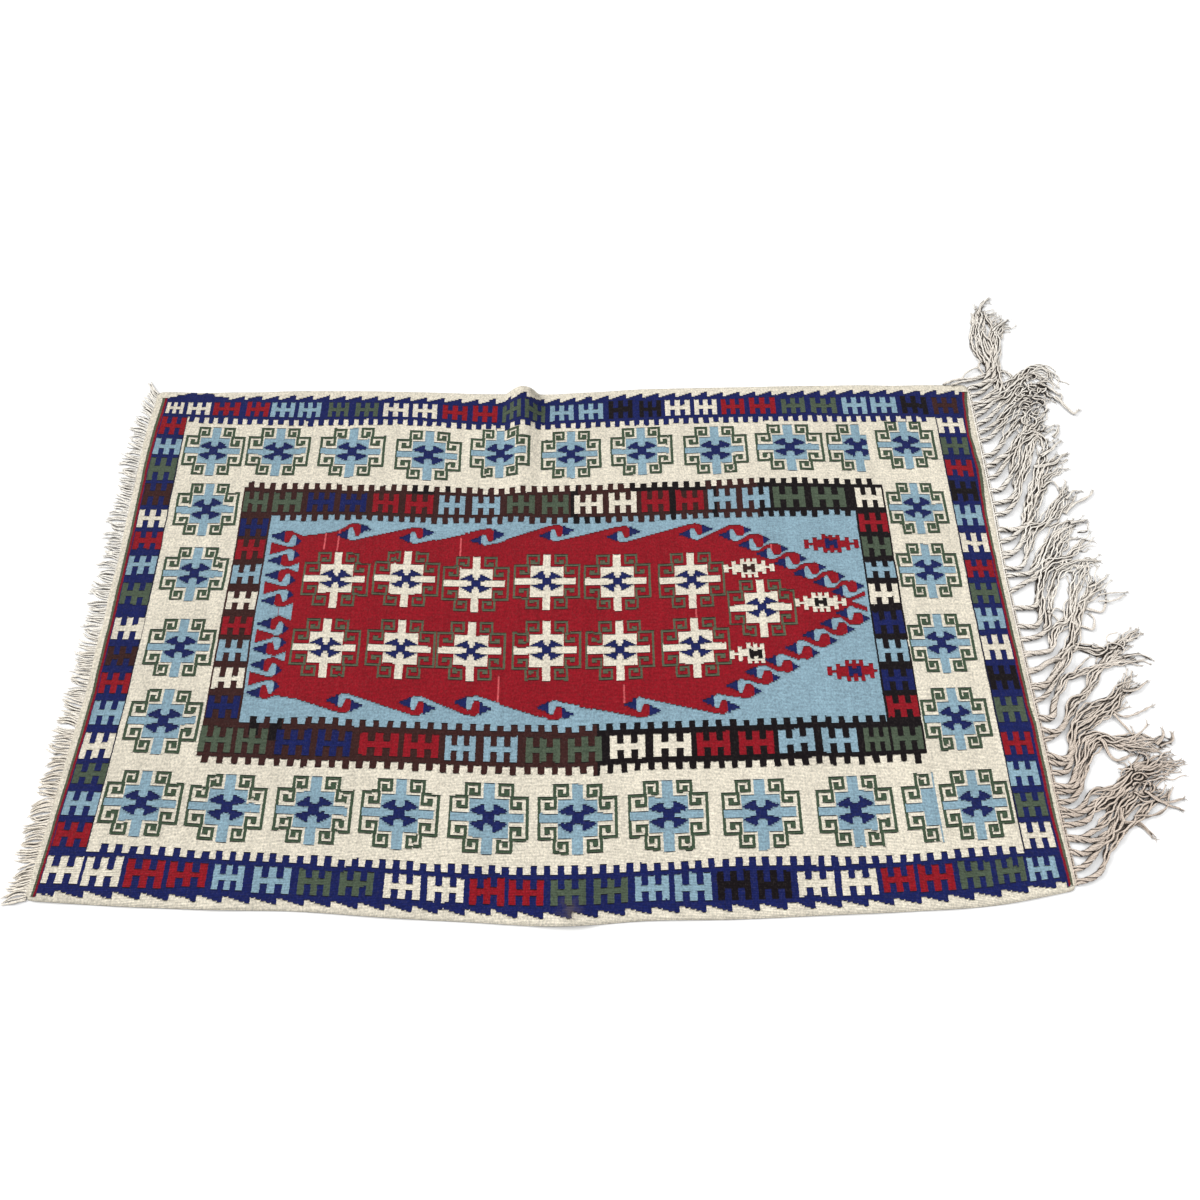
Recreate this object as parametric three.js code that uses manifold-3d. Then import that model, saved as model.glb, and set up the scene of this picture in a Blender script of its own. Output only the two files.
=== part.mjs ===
// Kilim, a flat-woven prayer rug with a short fringe at one end and a long knotted one at the other.
// Millimetres, +Z up. The origin is on the floor under the middle of the cloth. +X runs along the
// warps towards the long fringe, and +Y runs across the cloth.
import * as THREE from "three";
import { mergeVertices } from "three/addons/utils/BufferGeometryUtils.js";
import Module from "manifold-3d";

const wasm = await Module();
wasm.setup();

// Driving dimensions of the cloth
const CLOTH_THICK = 3;
const STATION_PITCH = 150; // along the cloth, between the rows of LONG_EDGES
const STATION_START = -900;
const END_PITCH = 180; // across the cloth, between the rows of SHORT_EDGES
const END_START = -540;
const CORNER_CUT = 4.5; // a worn corner draws in by this much each way
const PIECE_GAP = 0.3;

// The long edges at each station along the cloth: it bows towards one side.
const LONG_EDGES = [
  { far: 531, near: -537 },
  { far: 529, near: -548 },
  { far: 531, near: -555 },
  { far: 531, near: -559 },
  { far: 525, near: -570 },
  { far: 520, near: -579 },
  { far: 519, near: -587 },
  { far: 529, near: -579 },
  { far: 533, near: -578 },
  { far: 535, near: -573 },
  { far: 537, near: -568 },
  { far: 536, near: -559 },
  { far: 536, near: -533 },
];

// The short edges at each station across the cloth, from the near side to the far side
const SHORT_EDGES = [
  { left: -917, right: 892 },
  { left: -908, right: 891 },
  { left: -901, right: 890 },
  { left: -901, right: 889 },
  { left: -903, right: 889 },
  { left: -909, right: 892 },
  { left: -904, right: 893 },
];

// Folds stand highest at an edge and die away into the cloth.
const FOLDS = [
  { edge: "far", crest: -91, height: 30, flankLeft: 46, flankRight: 41, reach: 320 },
  { edge: "near", crest: 12, height: 7, flankLeft: 75, flankRight: 60, reach: 120 },
];
const FOLD_FALL = 1.4; // how fast a fold loses height along its reach
const FOLD_ROUND = 1.7; // how round its crest is

// The cloth's grid: wide steps where it lies flat, and fine ones across the folds
const WIDE_STEP = 75;
const FINE_STEP = 9;
const FINE_FROM = -141;
const FINE_TO = -42;
const ROWS = 26;

// Short fringe
const SHORT_STRANDS = 124;
const SHORT_STRIP = 3;
const SHORT_LENGTH = 33;
const SHORT_WIDE = 5.2;
const SHORT_HIGH = 3;
const SHORT_LEAN_FAR = 0.65; // radians away from the camera's side, at the far corner
const SHORT_LEAN_NEAR = -0.15;
const SHORT_STEPS = 3;
const SHORT_CROWN = [0]; // where the top edges of a strand stand across it, in widths

// Long fringe
const KNOT_STRIP = 9;
const KNOT_HIGH = 4.6;
const STRAND_WIDE = 5.6;
const STRAND_NECK = 3.4; // its width where it is twisted tight, beside the knots
const STRAND_HIGH = 5.5;
const STRAND_PAIR = 6.8; // between the two strands of a bundle where it leaves its knot
const STRAND_STEPS = 8;
const STRAND_CROWN = [0.3, -0.3];
const TIP_UNEVEN = 14; // the tips end this much early or late
const STRAIGHT_OUT = 15; // a bundle leaves the knots straight for this far
const STAGGER = 0.35; // the strand that turns on the outside of a bend turns this share of the pair later
// The tail of the corner knot lies back along the far edge of the cloth.
const CORNER_TAIL = [
  [897, 524],
  [891, 542],
  [868, 545],
  [841, 541],
];

// The bundles gather into clumps that lie swept to the far side. A row gives the span of a clump's
// roots along the edge, its strands, and where its middle line lies and how wide it is on the way.
const CLUMPS = [
  {
    from: -516, to: -408, strands: 12,
    waist: { x: 975, y: -412, wide: 84 },
    middle: { x: 1040, y: -368, wide: 88 },
    tip: { x: 1108, y: -352, wide: 112 },
  },
  {
    from: -388, to: -362, strands: 4,
    waist: { x: 947, y: -314, wide: 21 },
    middle: { x: 1005, y: -272, wide: 22 },
    tip: { x: 1118, y: -276, wide: 30 },
  },
  {
    from: -334, to: -302, strands: 4,
    waist: { x: 957, y: -256, wide: 21 },
    middle: { x: 1024, y: -208, wide: 24 },
    tip: { x: 1098, y: -166, wide: 36 },
  },
  {
    from: -266, to: -260, strands: 2,
    waist: { x: 952, y: -213, wide: 8 },
    middle: { x: 1010, y: -182, wide: 8 },
    tip: { x: 1050, y: -155, wide: 10 },
  },
  {
    from: -231, to: -229, strands: 2,
    waist: { x: 951, y: -176, wide: 7 },
    middle: { x: 1012, y: -142, wide: 8 },
    tip: { x: 1126, y: -113, wide: 16 },
  },
  {
    from: -198, to: -172, strands: 4,
    waist: { x: 962, y: -134, wide: 21 },
    middle: { x: 1026, y: -103, wide: 22 },
    tip: { x: 1117, y: -60, wide: 34 },
  },
  {
    from: -146, to: -48, strands: 8,
    waist: { x: 968, y: -54, wide: 50 },
    middle: { x: 1024, y: 18, wide: 52 },
    tip: { x: 1090, y: 52, wide: 84 },
  },
  {
    from: -8, to: 70, strands: 8,
    waist: { x: 962, y: 62, wide: 50 },
    middle: { x: 1010, y: 112, wide: 52 },
    tip: { x: 1084, y: 150, wide: 70 },
  },
  {
    from: 104, to: 132, strands: 4,
    waist: { x: 962, y: 152, wide: 22 },
    middle: { x: 1010, y: 204, wide: 24 },
    tip: { x: 1078, y: 228, wide: 40 },
  },
  {
    from: 166, to: 236, strands: 6,
    waist: { x: 962, y: 232, wide: 38 },
    middle: { x: 1014, y: 282, wide: 40 },
    tip: { x: 1080, y: 322, wide: 60 },
  },
  {
    from: 264, to: 346, strands: 8,
    waist: { x: 968, y: 346, wide: 52 },
    middle: { x: 1020, y: 396, wide: 54 },
    tip: { x: 1072, y: 418, wide: 62 },
  },
  {
    from: 384, to: 452, strands: 8,
    waist: { x: 968, y: 446, wide: 52 },
    middle: { x: 1026, y: 477, wide: 52 },
    tip: { x: 1082, y: 492, wide: 62 },
  },
  {
    from: 468, to: 496, strands: 6,
    waist: { x: 974, y: 517, wide: 38 },
    middle: { x: 1036, y: 557, wide: 40 },
    tip: { x: 1104, y: 554, wide: 46 },
  },
  {
    from: 508, to: 522, strands: 4,
    waist: { x: 957, y: 570, wide: 27 },
    middle: { x: 966, y: 660, wide: 52 },
    tip: { x: 1000, y: 752, wide: 66 },
  },
];

// A number between -1 and 1 that is always the same for the same pair
function uneven(index, salt) {
  const raw = Math.sin(index * 12.9898 + salt * 78.233) * 43758.5453;
  return 2 * (raw - Math.floor(raw)) - 1;
}

// A smooth line through values that stand at even stations
function along(values, position) {
  const last = values.length - 1;
  const t = Math.min(Math.max(position, 0), last);
  const i = Math.min(Math.floor(t), last - 1);
  const f = t - i;
  const b = values[i];
  const c = values[i + 1];
  const a = i > 0 ? values[i - 1] : 2 * b - c;
  const d = i + 2 <= last ? values[i + 2] : 2 * c - b;
  const slopeIn = (c - a) / 2;
  const slopeOut = (d - b) / 2;
  const square = 3 * (c - b) - 2 * slopeIn - slopeOut;
  const cube = 2 * (b - c) + slopeIn + slopeOut;
  return b + f * (slopeIn + f * (square + f * cube));
}

const column = (table, name) => table.map((row) => row[name]);
const longEdge = (side, x) => along(column(LONG_EDGES, side), (x - STATION_START) / STATION_PITCH);
const shortEdge = (side, y) => along(column(SHORT_EDGES, side), (y - END_START) / END_PITCH);

// The cloth's point at nominal x and at share q of the way from the near edge to the far edge
function clothPoint(nominal, q) {
  const y = THREE.MathUtils.lerp(longEdge("near", nominal), longEdge("far", nominal), q);
  const share = (nominal - STATION_START) / (2 * -STATION_START);
  const x = THREE.MathUtils.lerp(shortEdge("left", y), shortEdge("right", y), share);
  const point = new THREE.Vector2(x, y);
  const outward = new THREE.Vector2(2 * share - 1, 2 * q - 1);
  const atCorner = Math.abs(outward.x) === 1 && Math.abs(outward.y) === 1;
  return atCorner ? point.addScaledVector(outward, -CORNER_CUT) : point;
}

// How far a fold lifts the cloth at a point
function foldHeight(fold, x, y) {
  const inward = Math.abs(longEdge(fold.edge, x) - y);
  const flank = x < fold.crest ? fold.flankLeft : fold.flankRight;
  const across = Math.min(Math.abs(x - fold.crest) / flank, 1);
  const left = Math.max(1 - inward / fold.reach, 0);
  return fold.height * left ** FOLD_FALL * (1 - across ** 2) ** FOLD_ROUND;
}

const lift = (x, y) => FOLDS.reduce((sum, fold) => sum + foldHeight(fold, x, y), 0);

// Nominal x of the grid's columns
function gridColumns() {
  const columns = [];
  for (let x = STATION_START; x < FINE_FROM; x += WIDE_STEP) columns.push(x);
  for (let x = FINE_FROM; x < FINE_TO; x += FINE_STEP) columns.push(x);
  const rest = Math.ceil((-STATION_START - FINE_TO) / WIDE_STEP);
  for (let i = 0; i <= rest; i++) columns.push(FINE_TO + ((-STATION_START - FINE_TO) * i) / rest);
  return columns;
}

const rowShare = (j) => j / ROWS;

// The point at share q of the outline between two rows of the grid
function edgePoint(x, q) {
  const row = Math.min(Math.floor(q * ROWS), ROWS - 1);
  return clothPoint(x, rowShare(row)).lerp(clothPoint(x, rowShare(row + 1)), q * ROWS - row);
}

// A closed body from rings of points: ring after ring along it, flat ends
function ringBody(rings) {
  const sides = rings[0].length;
  const faces = [];
  const quad = (a, b, c, d) => faces.push(a, b, c, a, c, d);
  for (let i = 0; i + 1 < rings.length; i++) {
    for (let k = 0; k < sides; k++) {
      const next = (k + 1) % sides;
      quad(i * sides + k, i * sides + next, (i + 1) * sides + next, (i + 1) * sides + k);
    }
  }
  const end = (rings.length - 1) * sides;
  for (let k = 1; k + 1 < sides; k++) {
    faces.push(0, k + 1, k);
    faces.push(end, end + k, end + k + 1);
  }
  return facesToGeometry(rings.flat(), faces);
}

function facesToGeometry(points, faces) {
  const geometry = new THREE.BufferGeometry().setFromPoints(points);
  return geometry.setIndex(faces);
}

function toSolid(geometry) {
  const merged = mergeVertices(geometry, 1e-4);
  return new wasm.Manifold(
    new wasm.Mesh({
      numProp: 3,
      vertProperties: merged.attributes.position.array,
      triVerts: new Uint32Array(merged.index.array),
    }),
  );
}

function fromSolid(solid) {
  const mesh = solid.getMesh();
  const geometry = new THREE.BufferGeometry();
  geometry.setAttribute("position", new THREE.BufferAttribute(new Float32Array(mesh.vertProperties), 3));
  geometry.setIndex(new THREE.BufferAttribute(new Uint32Array(mesh.triVerts), 1));
  return geometry;
}

function joined(geometries) {
  const solids = geometries.map(toSolid);
  return fromSolid(solids.reduce((whole, piece) => whole.add(piece)));
}

// The woven sheet: an upper and a lower skin on one grid, closed around the rim
function clothGeometry() {
  const columns = gridColumns();
  const points = [];
  for (const above of [0, CLOTH_THICK]) {
    for (const x of columns) {
      for (let j = 0; j <= ROWS; j++) {
        const p = clothPoint(x, rowShare(j));
        points.push(new THREE.Vector3(p.x, p.y, lift(p.x, p.y) + above));
      }
    }
  }
  const upper = columns.length * (ROWS + 1);
  const at = (i, j) => i * (ROWS + 1) + j;
  const faces = [];
  const wall = (a, b) => faces.push(a, b, b + upper, a, b + upper, a + upper);
  for (let i = 0; i + 1 < columns.length; i++) {
    for (let j = 0; j < ROWS; j++) {
      const [a, b, c, d] = [at(i, j), at(i + 1, j), at(i + 1, j + 1), at(i, j + 1)];
      faces.push(a, c, b, a, d, c);
      faces.push(a + upper, b + upper, c + upper, a + upper, c + upper, d + upper);
    }
    wall(at(i, 0), at(i + 1, 0));
    wall(at(i + 1, ROWS), at(i, ROWS));
  }
  for (let j = 0; j < ROWS; j++) {
    wall(at(columns.length - 1, j), at(columns.length - 1, j + 1));
    wall(at(0, j + 1), at(0, j));
  }
  return facesToGeometry(points, faces);
}

// The backing of a fringe: a bar beside the cloth's end, on the same rows as the cloth's grid
function stripGeometry(x, outward, wide, high) {
  const rings = [];
  for (let j = 0; j <= ROWS; j++) {
    const p = clothPoint(x, rowShare(j));
    const inner = p.x + outward * PIECE_GAP;
    const outer = inner + outward * wide;
    const [low, top] = [Math.min(inner, outer), Math.max(inner, outer)];
    rings.push([
      new THREE.Vector3(low, p.y, 0),
      new THREE.Vector3(low, p.y, high),
      new THREE.Vector3(top, p.y, high),
      new THREE.Vector3(top, p.y, 0),
    ]);
  }
  return ringBody(rings);
}

// A strand that lies on the floor along a path, flat underneath and narrower on top
function strandGeometry(path, steps, sizeAt, crown) {
  const rings = [];
  for (let i = 0; i <= steps; i++) {
    const t = i / steps;
    const point = path.getPointAt(t);
    const tangent = path.getTangentAt(t);
    const side = new THREE.Vector3(-tangent.y, tangent.x, 0).normalize();
    const { wide, high } = sizeAt(t);
    const place = (across, up) => point.clone().addScaledVector(side, across * wide).setZ(up * high);
    const ring = [place(-0.5, 0), place(0.5, 0)];
    ring.push(...crown.map((across) => place(across, 1)));
    rings.push(ring);
  }
  return ringBody(rings);
}

const onFloor = ([x, y]) => new THREE.Vector3(x, y, 0);
const floorPath = (points) => new THREE.CatmullRomCurve3(points.map(onFloor), false, "catmullrom", 0.5);

// One strand of the short fringe
function shortStrand(index) {
  const q = (index + 0.5) / SHORT_STRANDS;
  const edge = edgePoint(STATION_START, q);
  const lean = THREE.MathUtils.lerp(SHORT_LEAN_NEAR, SHORT_LEAN_FAR, q ** 1.5) + 0.1 * uneven(index, 1);
  const length = SHORT_LENGTH * (1 + 0.16 * uneven(index, 2));
  const bow = 1.2 * uneven(index, 3);
  const root = [edge.x - PIECE_GAP - SHORT_STRIP / 2, edge.y];
  const tip = [root[0] - length * Math.cos(lean), root[1] + length * Math.sin(lean)];
  const middle = [(root[0] + tip[0]) / 2, (root[1] + tip[1]) / 2 + bow];
  return strandGeometry(floorPath([root, middle, tip]), SHORT_STEPS, shortStrandSize, SHORT_CROWN);
}

const shortStrandSize = (t) => ({
  wide: SHORT_WIDE * (1 - 0.5 * t ** 2),
  high: SHORT_HIGH * (0.85 - 0.3 * t),
});

// A strand of the long fringe is tight at its knot, full in the middle and thin at its tip.
function longStrandSize(t) {
  const full = THREE.MathUtils.lerp(STRAND_NECK, STRAND_WIDE, Math.min(2 * t, 1));
  return {
    wide: full * (1 - 0.45 * t ** 4),
    high: t === 0 ? KNOT_HIGH * 0.9 : STRAND_HIGH * (1 - 0.4 * t ** 3),
  };
}

// The middle of the knot strip at a height across the cloth
function knotX(y) {
  const near = clothPoint(-STATION_START, 0).y;
  const far = clothPoint(-STATION_START, 1).y;
  return edgePoint(-STATION_START, (y - near) / (far - near)).x + PIECE_GAP + KNOT_STRIP / 2;
}

// The point of a strand's lane at one place of its clump, square to the heading from a to b
function lanePoint(place, lane, a, b) {
  const across = new THREE.Vector2(a.y - b.y, b.x - a.x).setLength(lane * place.wide);
  return [place.x + across.x, place.y + across.y];
}

// One strand of the long fringe: straight out of its knot, then along its lane of the clump
function longStrand(clump, index, number) {
  const { waist, middle, tip } = clump;
  const share = Math.floor(index / 2) / (clump.strands / 2 - 1 || 1);
  const pair = (index % 2 ? 0.5 : -0.5) * STRAND_PAIR;
  const lane = index / (clump.strands - 1) - 0.5;
  const root = { x: knotX(clump.from), y: (clump.from + clump.to) / 2 };
  const y = THREE.MathUtils.lerp(clump.from, clump.to, share) + pair;
  const end = lanePoint(tip, lane, middle, tip);
  const run = new THREE.Vector2(tip.x - middle.x, tip.y - middle.y);
  run.setLength(TIP_UNEVEN * uneven(number, 4));
  const points = [
    [knotX(y), y],
    [knotX(y) + STRAIGHT_OUT - STAGGER * pair, y + 2],
    lanePoint(waist, lane, root, middle),
    lanePoint(middle, lane, waist, tip),
    [end[0] + run.x, end[1] + run.y],
  ];
  return strandGeometry(floorPath(points), STRAND_STEPS, longStrandSize, STRAND_CROWN);
}

function shortFringeGeometry() {
  const pieces = [stripGeometry(STATION_START, -1, SHORT_STRIP, SHORT_HIGH)];
  for (let i = 0; i < SHORT_STRANDS; i++) pieces.push(shortStrand(i));
  return joined(pieces);
}

function longFringeGeometry() {
  const pieces = [stripGeometry(-STATION_START, 1, KNOT_STRIP, KNOT_HIGH)];
  for (const clump of CLUMPS) {
    for (let i = 0; i < clump.strands; i++) pieces.push(longStrand(clump, i, pieces.length));
  }
  pieces.push(strandGeometry(floorPath(CORNER_TAIL), STRAND_STEPS, longStrandSize, STRAND_CROWN));
  return joined(pieces);
}

const wool = (color) => new THREE.MeshStandardMaterial({ color, roughness: 0.95, metalness: 0 });

function piece(name, geometry, material) {
  const mesh = new THREE.Mesh(geometry, material);
  mesh.name = name;
  return mesh;
}

const kilim = new THREE.Group();
kilim.add(
  piece("kilim", clothGeometry(), wool("#8f2a38")),
  piece("fringe_left", shortFringeGeometry(), wool("#dcd3bf")),
  piece("fringe_right", longFringeGeometry(), wool("#cdc3b4")),
);

export default kilim;
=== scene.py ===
"""A flat-woven wool kilim with a pointed niche, laid on a floor, with a short fringe at its
left end and long knotted bundles of yarn at its right end."""
import math

import bpy
import numpy as np
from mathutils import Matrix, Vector


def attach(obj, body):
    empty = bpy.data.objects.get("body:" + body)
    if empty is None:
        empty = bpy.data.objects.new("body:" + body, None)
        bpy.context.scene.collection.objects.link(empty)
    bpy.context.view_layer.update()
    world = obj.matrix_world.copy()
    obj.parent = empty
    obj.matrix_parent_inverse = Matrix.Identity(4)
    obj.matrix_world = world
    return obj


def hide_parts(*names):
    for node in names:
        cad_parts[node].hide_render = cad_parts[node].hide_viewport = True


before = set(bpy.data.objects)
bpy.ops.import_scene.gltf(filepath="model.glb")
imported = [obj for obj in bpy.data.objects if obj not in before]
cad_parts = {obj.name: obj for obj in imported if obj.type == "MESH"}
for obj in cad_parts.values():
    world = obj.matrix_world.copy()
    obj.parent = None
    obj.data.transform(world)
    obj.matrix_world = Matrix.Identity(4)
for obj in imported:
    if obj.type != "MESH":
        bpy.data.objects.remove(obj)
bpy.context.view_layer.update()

MM = 0.001
TAU = 2 * math.pi
rng = np.random.default_rng(7)


def uneven(count=None, low=-1.0, high=1.0):
    """One random number, or as many as the count."""
    return rng.uniform(low, high, count)


def stray(most):
    """A random number that lies up to the most on either side of 0."""
    return rng.uniform(-most, most)


def add_object(name, data):
    made = bpy.data.objects.new(name, data)
    bpy.context.collection.objects.link(made)
    return made


# Camera, lights and floor
CAMERA_PLACE = (0.0683, -0.6630, 1.5360)
CAMERA_TURN = (23.935, 0.0, -0.495)
CAMERA_LENS = 25.38
SENSOR = 36.0
FLOOR_WIDE = 16.0
FLOOR_DROP = 0.5 * MM
FLOOR_COLOUR = (0.86, 0.86, 0.86, 1.0)
FLOOR_ROUGHNESS = 0.9
# Soft lights: name, place, size across, power in watts
LIGHTS = [
    ("overhead", (0.1, 0.3, 3.3), 3.4, 60.0),
    ("fill", (2.2, -1.6, 2.1), 2.4, 20.0),
]
AIM = (0.1, 0.0, 0.0)
SKY_COLOUR = (1.0, 1.0, 1.0, 1.0)
SKY_STRENGTH = 0.50
# Light from the left that is even over the whole cloth: where it comes from, how wide, how strong
SIDE_LIGHT = dict(place=(-3.0, 1.5, 2.3), wide=0.55, strength=2.6)


def aimed(place, target):
    """The turn that points a light or camera at a target."""
    return (Vector(target) - Vector(place)).to_track_quat("-Z", "Y").to_euler()


def make_camera():
    camera = add_object("camera", bpy.data.cameras.new("camera"))
    camera.location = CAMERA_PLACE
    camera.rotation_euler = [math.radians(turn) for turn in CAMERA_TURN]
    camera.data.lens = CAMERA_LENS
    camera.data.sensor_width = SENSOR
    bpy.context.scene.camera = camera


def place_lamp(light, place):
    lamp = add_object(light.name, light)
    lamp.location = place
    lamp.rotation_euler = aimed(place, AIM)


def make_lights():
    for name, place, size, power in LIGHTS:
        light = bpy.data.lights.new(name, "AREA")
        light.shape = "DISK"
        light.size = size
        light.energy = power
        place_lamp(light, place)
    light = bpy.data.lights.new("side", "SUN")
    light.angle = SIDE_LIGHT["wide"]
    light.energy = SIDE_LIGHT["strength"]
    place_lamp(light, SIDE_LIGHT["place"])
    world = bpy.data.worlds.new("studio")
    world.use_nodes = True
    background = world.node_tree.nodes["Background"]
    background.inputs["Color"].default_value = SKY_COLOUR
    background.inputs["Strength"].default_value = SKY_STRENGTH
    bpy.context.scene.world = world
    bpy.context.scene.view_settings.view_transform = "Standard"


def make_floor():
    half = FLOOR_WIDE / 2
    mesh = bpy.data.meshes.new("floor")
    corners = [(-half, -half, 0), (half, -half, 0), (half, half, 0), (-half, half, 0)]
    mesh.from_pydata(corners, [], [(0, 1, 2, 3)])
    floor = add_object("floor", mesh)
    floor.location.z = -FLOOR_DROP
    material = bpy.data.materials.new("pale_floor")
    material.use_nodes = True
    surface = material.node_tree.nodes["Principled BSDF"]
    surface.inputs["Base Color"].default_value = FLOOR_COLOUR
    surface.inputs["Roughness"].default_value = FLOOR_ROUGHNESS
    mesh.materials.append(material)


make_camera()
make_lights()
make_floor()


# Making meshes from arrays
def mesh_piece(name, points, faces, maps):
    """A smooth piece from points in millimetres and faces of four corners.
    maps holds a pair of values for each face's corner, by the map's name."""
    mesh = bpy.data.meshes.new(name)
    mesh.vertices.add(len(points))
    mesh.vertices.foreach_set("co", (np.asarray(points) * MM).ravel())
    mesh.loops.add(faces.size)
    mesh.loops.foreach_set("vertex_index", faces.ravel().astype(np.int32))
    mesh.polygons.add(len(faces))
    mesh.polygons.foreach_set("loop_start", np.arange(0, faces.size, 4, dtype=np.int32))
    mesh.update(calc_edges=True)
    mesh.polygons.foreach_set("use_smooth", np.ones(len(faces), bool))
    for key, values in maps.items():
        layer = mesh.uv_layers.new(name=key)
        layer.uv.foreach_set("vector", np.asarray(values, float).ravel())
    return add_object(name, mesh)


def face_values(piece, name, values):
    """Three numbers for each face, which the material reads by name."""
    layer = piece.data.attributes.new(name, "FLOAT_VECTOR", "FACE")
    layer.data.foreach_set("vector", np.asarray(values, float).ravel())


def point_values(piece, name, values):
    """One number for each point, which the material reads by name."""
    layer = piece.data.attributes.new(name, "FLOAT", "POINT")
    layer.data.foreach_set("value", np.asarray(values, float))


# Woven pattern
# Woven lines of the cloth, in millimetres: each lies straight in the chart at its level,
# and on the cloth at these places, a column for each station
LONG_START, LONG_PITCH = -900, 150
LONG_LINES = {
    "near_edge": (-567, [-537, -548, -555, -559, -570, -579, -587, -579, -578, -573, -568, -559, -533]),
    "near_saw": (-550, [-526, -531, -538, -545, -554, -564, -570, -563, -560, -556, -551, -541, -520]),
    "near_blue": (-487, [-453, -460, -472, -480, -490, -500, -503, -498, -491, -490, -487, -477, -470]),
    "near_guard_out": (-302, [-280, -285, -292, -299, -304, -312, -316, -309, -307, -303, -298, -292, -288]),
    "near_guard_in": (-240, [-218, -222, -227, -233, -240, -247, -250, -246, -242, -239, -236, -233, -230]),
    "far_guard_in": (211, [218, 217, 215, 215, 208, 205, 205, 207, 213, 216, 216, 214, 212]),
    "far_guard_out": (274, [285, 283, 279, 275, 270, 263, 267, 272, 277, 284, 280, 276, 274]),
    "far_blue": (453, [472, 462, 455, 456, 452, 437, 441, 447, 454, 455, 455, 454, 452]),
    "far_saw": (514, [514, 515, 515, 513, 507, 500, 503, 514, 516, 518, 520, 520, 515]),
    "far_edge": (530, [531, 529, 531, 531, 525, 520, 519, 529, 533, 535, 537, 536, 536]),
}
SHORT_START, SHORT_PITCH = -540, 180
SHORT_LINES = {
    "left_edge": (-904, [-917, -908, -901, -901, -903, -909, -904]),
    "left_blue_out": (-880, [-900, -889, -879, -879, -881, -885, -878]),
    "left_blue_in": (-821, [-834, -826, -820, -818, -820, -824, -828]),
    "left_guard_out": (-669, [-668, -668, -668, -669, -669, -675, -677]),
    "left_guard_in": (-604, [-600, -600, -601, -604, -605, -607, -608]),
    "right_guard_in": (607, [607, 607, 607, 607, 607, 607, 607]),
    "right_guard_out": (672, [672, 672, 672, 672, 672, 672, 672]),
    "right_blue_in": (811, [812, 812, 811, 810, 811, 812, 812]),
    "right_blue_out": (870, [876, 870, 871, 869, 871, 874, 878]),
    "right_edge": (891, [892, 891, 890, 889, 889, 892, 893]),
}


LEVEL = {name: level for name, (level, _) in [*LONG_LINES.items(), *SHORT_LINES.items()]}
LEFT, RIGHT, NEAR, FAR = (LEVEL[side + "_edge"] for side in ("left", "right", "near", "far"))
CHART_ROUNDS = 12


def extended(rows):
    """Rows with one more place before the first and after the last, in line with their neighbours."""
    first = 2 * rows[:, :1] - rows[:, 1:2]
    last = 2 * rows[:, -1:] - rows[:, -2:-1]
    return np.concatenate([first, rows, last], 1)


def curve(a, b, c, d, t):
    """A smooth curve from b at t = 0 to c at t = 1, with a before them and d after them."""
    return (b * (1 + 2 * t) * (1 - t) ** 2 + c * t * t * (3 - 2 * t)
            + (c - a) / 2 * t * (1 - t) ** 2 - (d - b) / 2 * t * t * (1 - t))


def stations(lines):
    """The lines' levels in the chart, and a row of places for each line."""
    levels, rows = zip(*lines.values())
    return np.array(levels, float), extended(np.array(rows, float))


LONG = stations(LONG_LINES)
SHORT = stations(SHORT_LINES)


def along(rows, line, position):
    """A line's place at a position counted in stations, on a smooth curve through its row."""
    position = np.clip(position, 0, rows.shape[1] - 3)
    i = np.minimum(position.astype(int), rows.shape[1] - 4)
    return curve(*(rows[line, i + k] for k in range(4)), position - i)


def long_line(name, x):
    """How far across the cloth a long line lies at x."""
    x = np.asarray(x, float)
    line = list(LONG_LINES).index(name)
    return along(LONG[1], np.full(x.shape, line), (x - LONG_START) / LONG_PITCH)


def short_line(name, y):
    """How far along the cloth a short line lies at y."""
    y = np.asarray(y, float)
    line = list(SHORT_LINES).index(name)
    return along(SHORT[1], np.full(y.shape, line), (y - SHORT_START) / SHORT_PITCH)


def between(lines, position, level):
    """A place that lies between two lines as its level lies between theirs."""
    levels, rows = lines
    k = np.clip(np.searchsorted(levels, level, side="right") - 1, 0, len(levels) - 2)
    share = (level - levels[k]) / (levels[k + 1] - levels[k])
    return along(rows, k, position) * (1 - share) + along(rows, k + 1, position) * share


def on_cloth(u, v):
    """The chart's point u, v on the cloth, seen from above."""
    u, v = np.broadcast_arrays(np.asarray(u, float), np.asarray(v, float))
    y = between(LONG, (u - LONG_START) / LONG_PITCH, v)
    return between(SHORT, (y - SHORT_START) / SHORT_PITCH, u), y


def in_chart(x, y):
    """The chart's point that lies at x, y on the cloth."""
    u, v = float(x), float(y)
    for _ in range(CHART_ROUNDS):
        px, py = on_cloth(u, v)
        u, v = u + x - float(px), v + y - float(py)
    return u, v


# Chart: rows of single warps and columns of weft picks
FACES_LONG, FACES_WIDE = 310, 146
PICKS, WARPS = 12, 3
COLOURS = ["ivory", "royal", "red", "sky", "olive", "green", "moss", "brown", "black", "navy", "pink",
           "crimson", "ink"]
COLUMNS, ROWS = FACES_LONG * PICKS, FACES_WIDE * WARPS
WARP = (FAR - NEAR) / ROWS
U = LEFT + (np.arange(COLUMNS) + 0.5) * (RIGHT - LEFT) / COLUMNS
V = NEAR + (np.arange(ROWS) + 0.5) * (FAR - NEAR) / ROWS
chart = np.zeros((ROWS, COLUMNS), np.uint8)
# Where drawing stops along the cloth
limit = [RIGHT]


def number(name):
    return COLOURS.index(name)


def span(x0, x1, y0, y1):
    """The rows and columns of the chart inside a box, as far as the limit."""
    r0, r1 = np.searchsorted(V, (y0, y1))
    c0, c1 = np.searchsorted(U, (x0, min(x1, limit[0])))
    return slice(r0, r1), slice(c0, c1)


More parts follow.
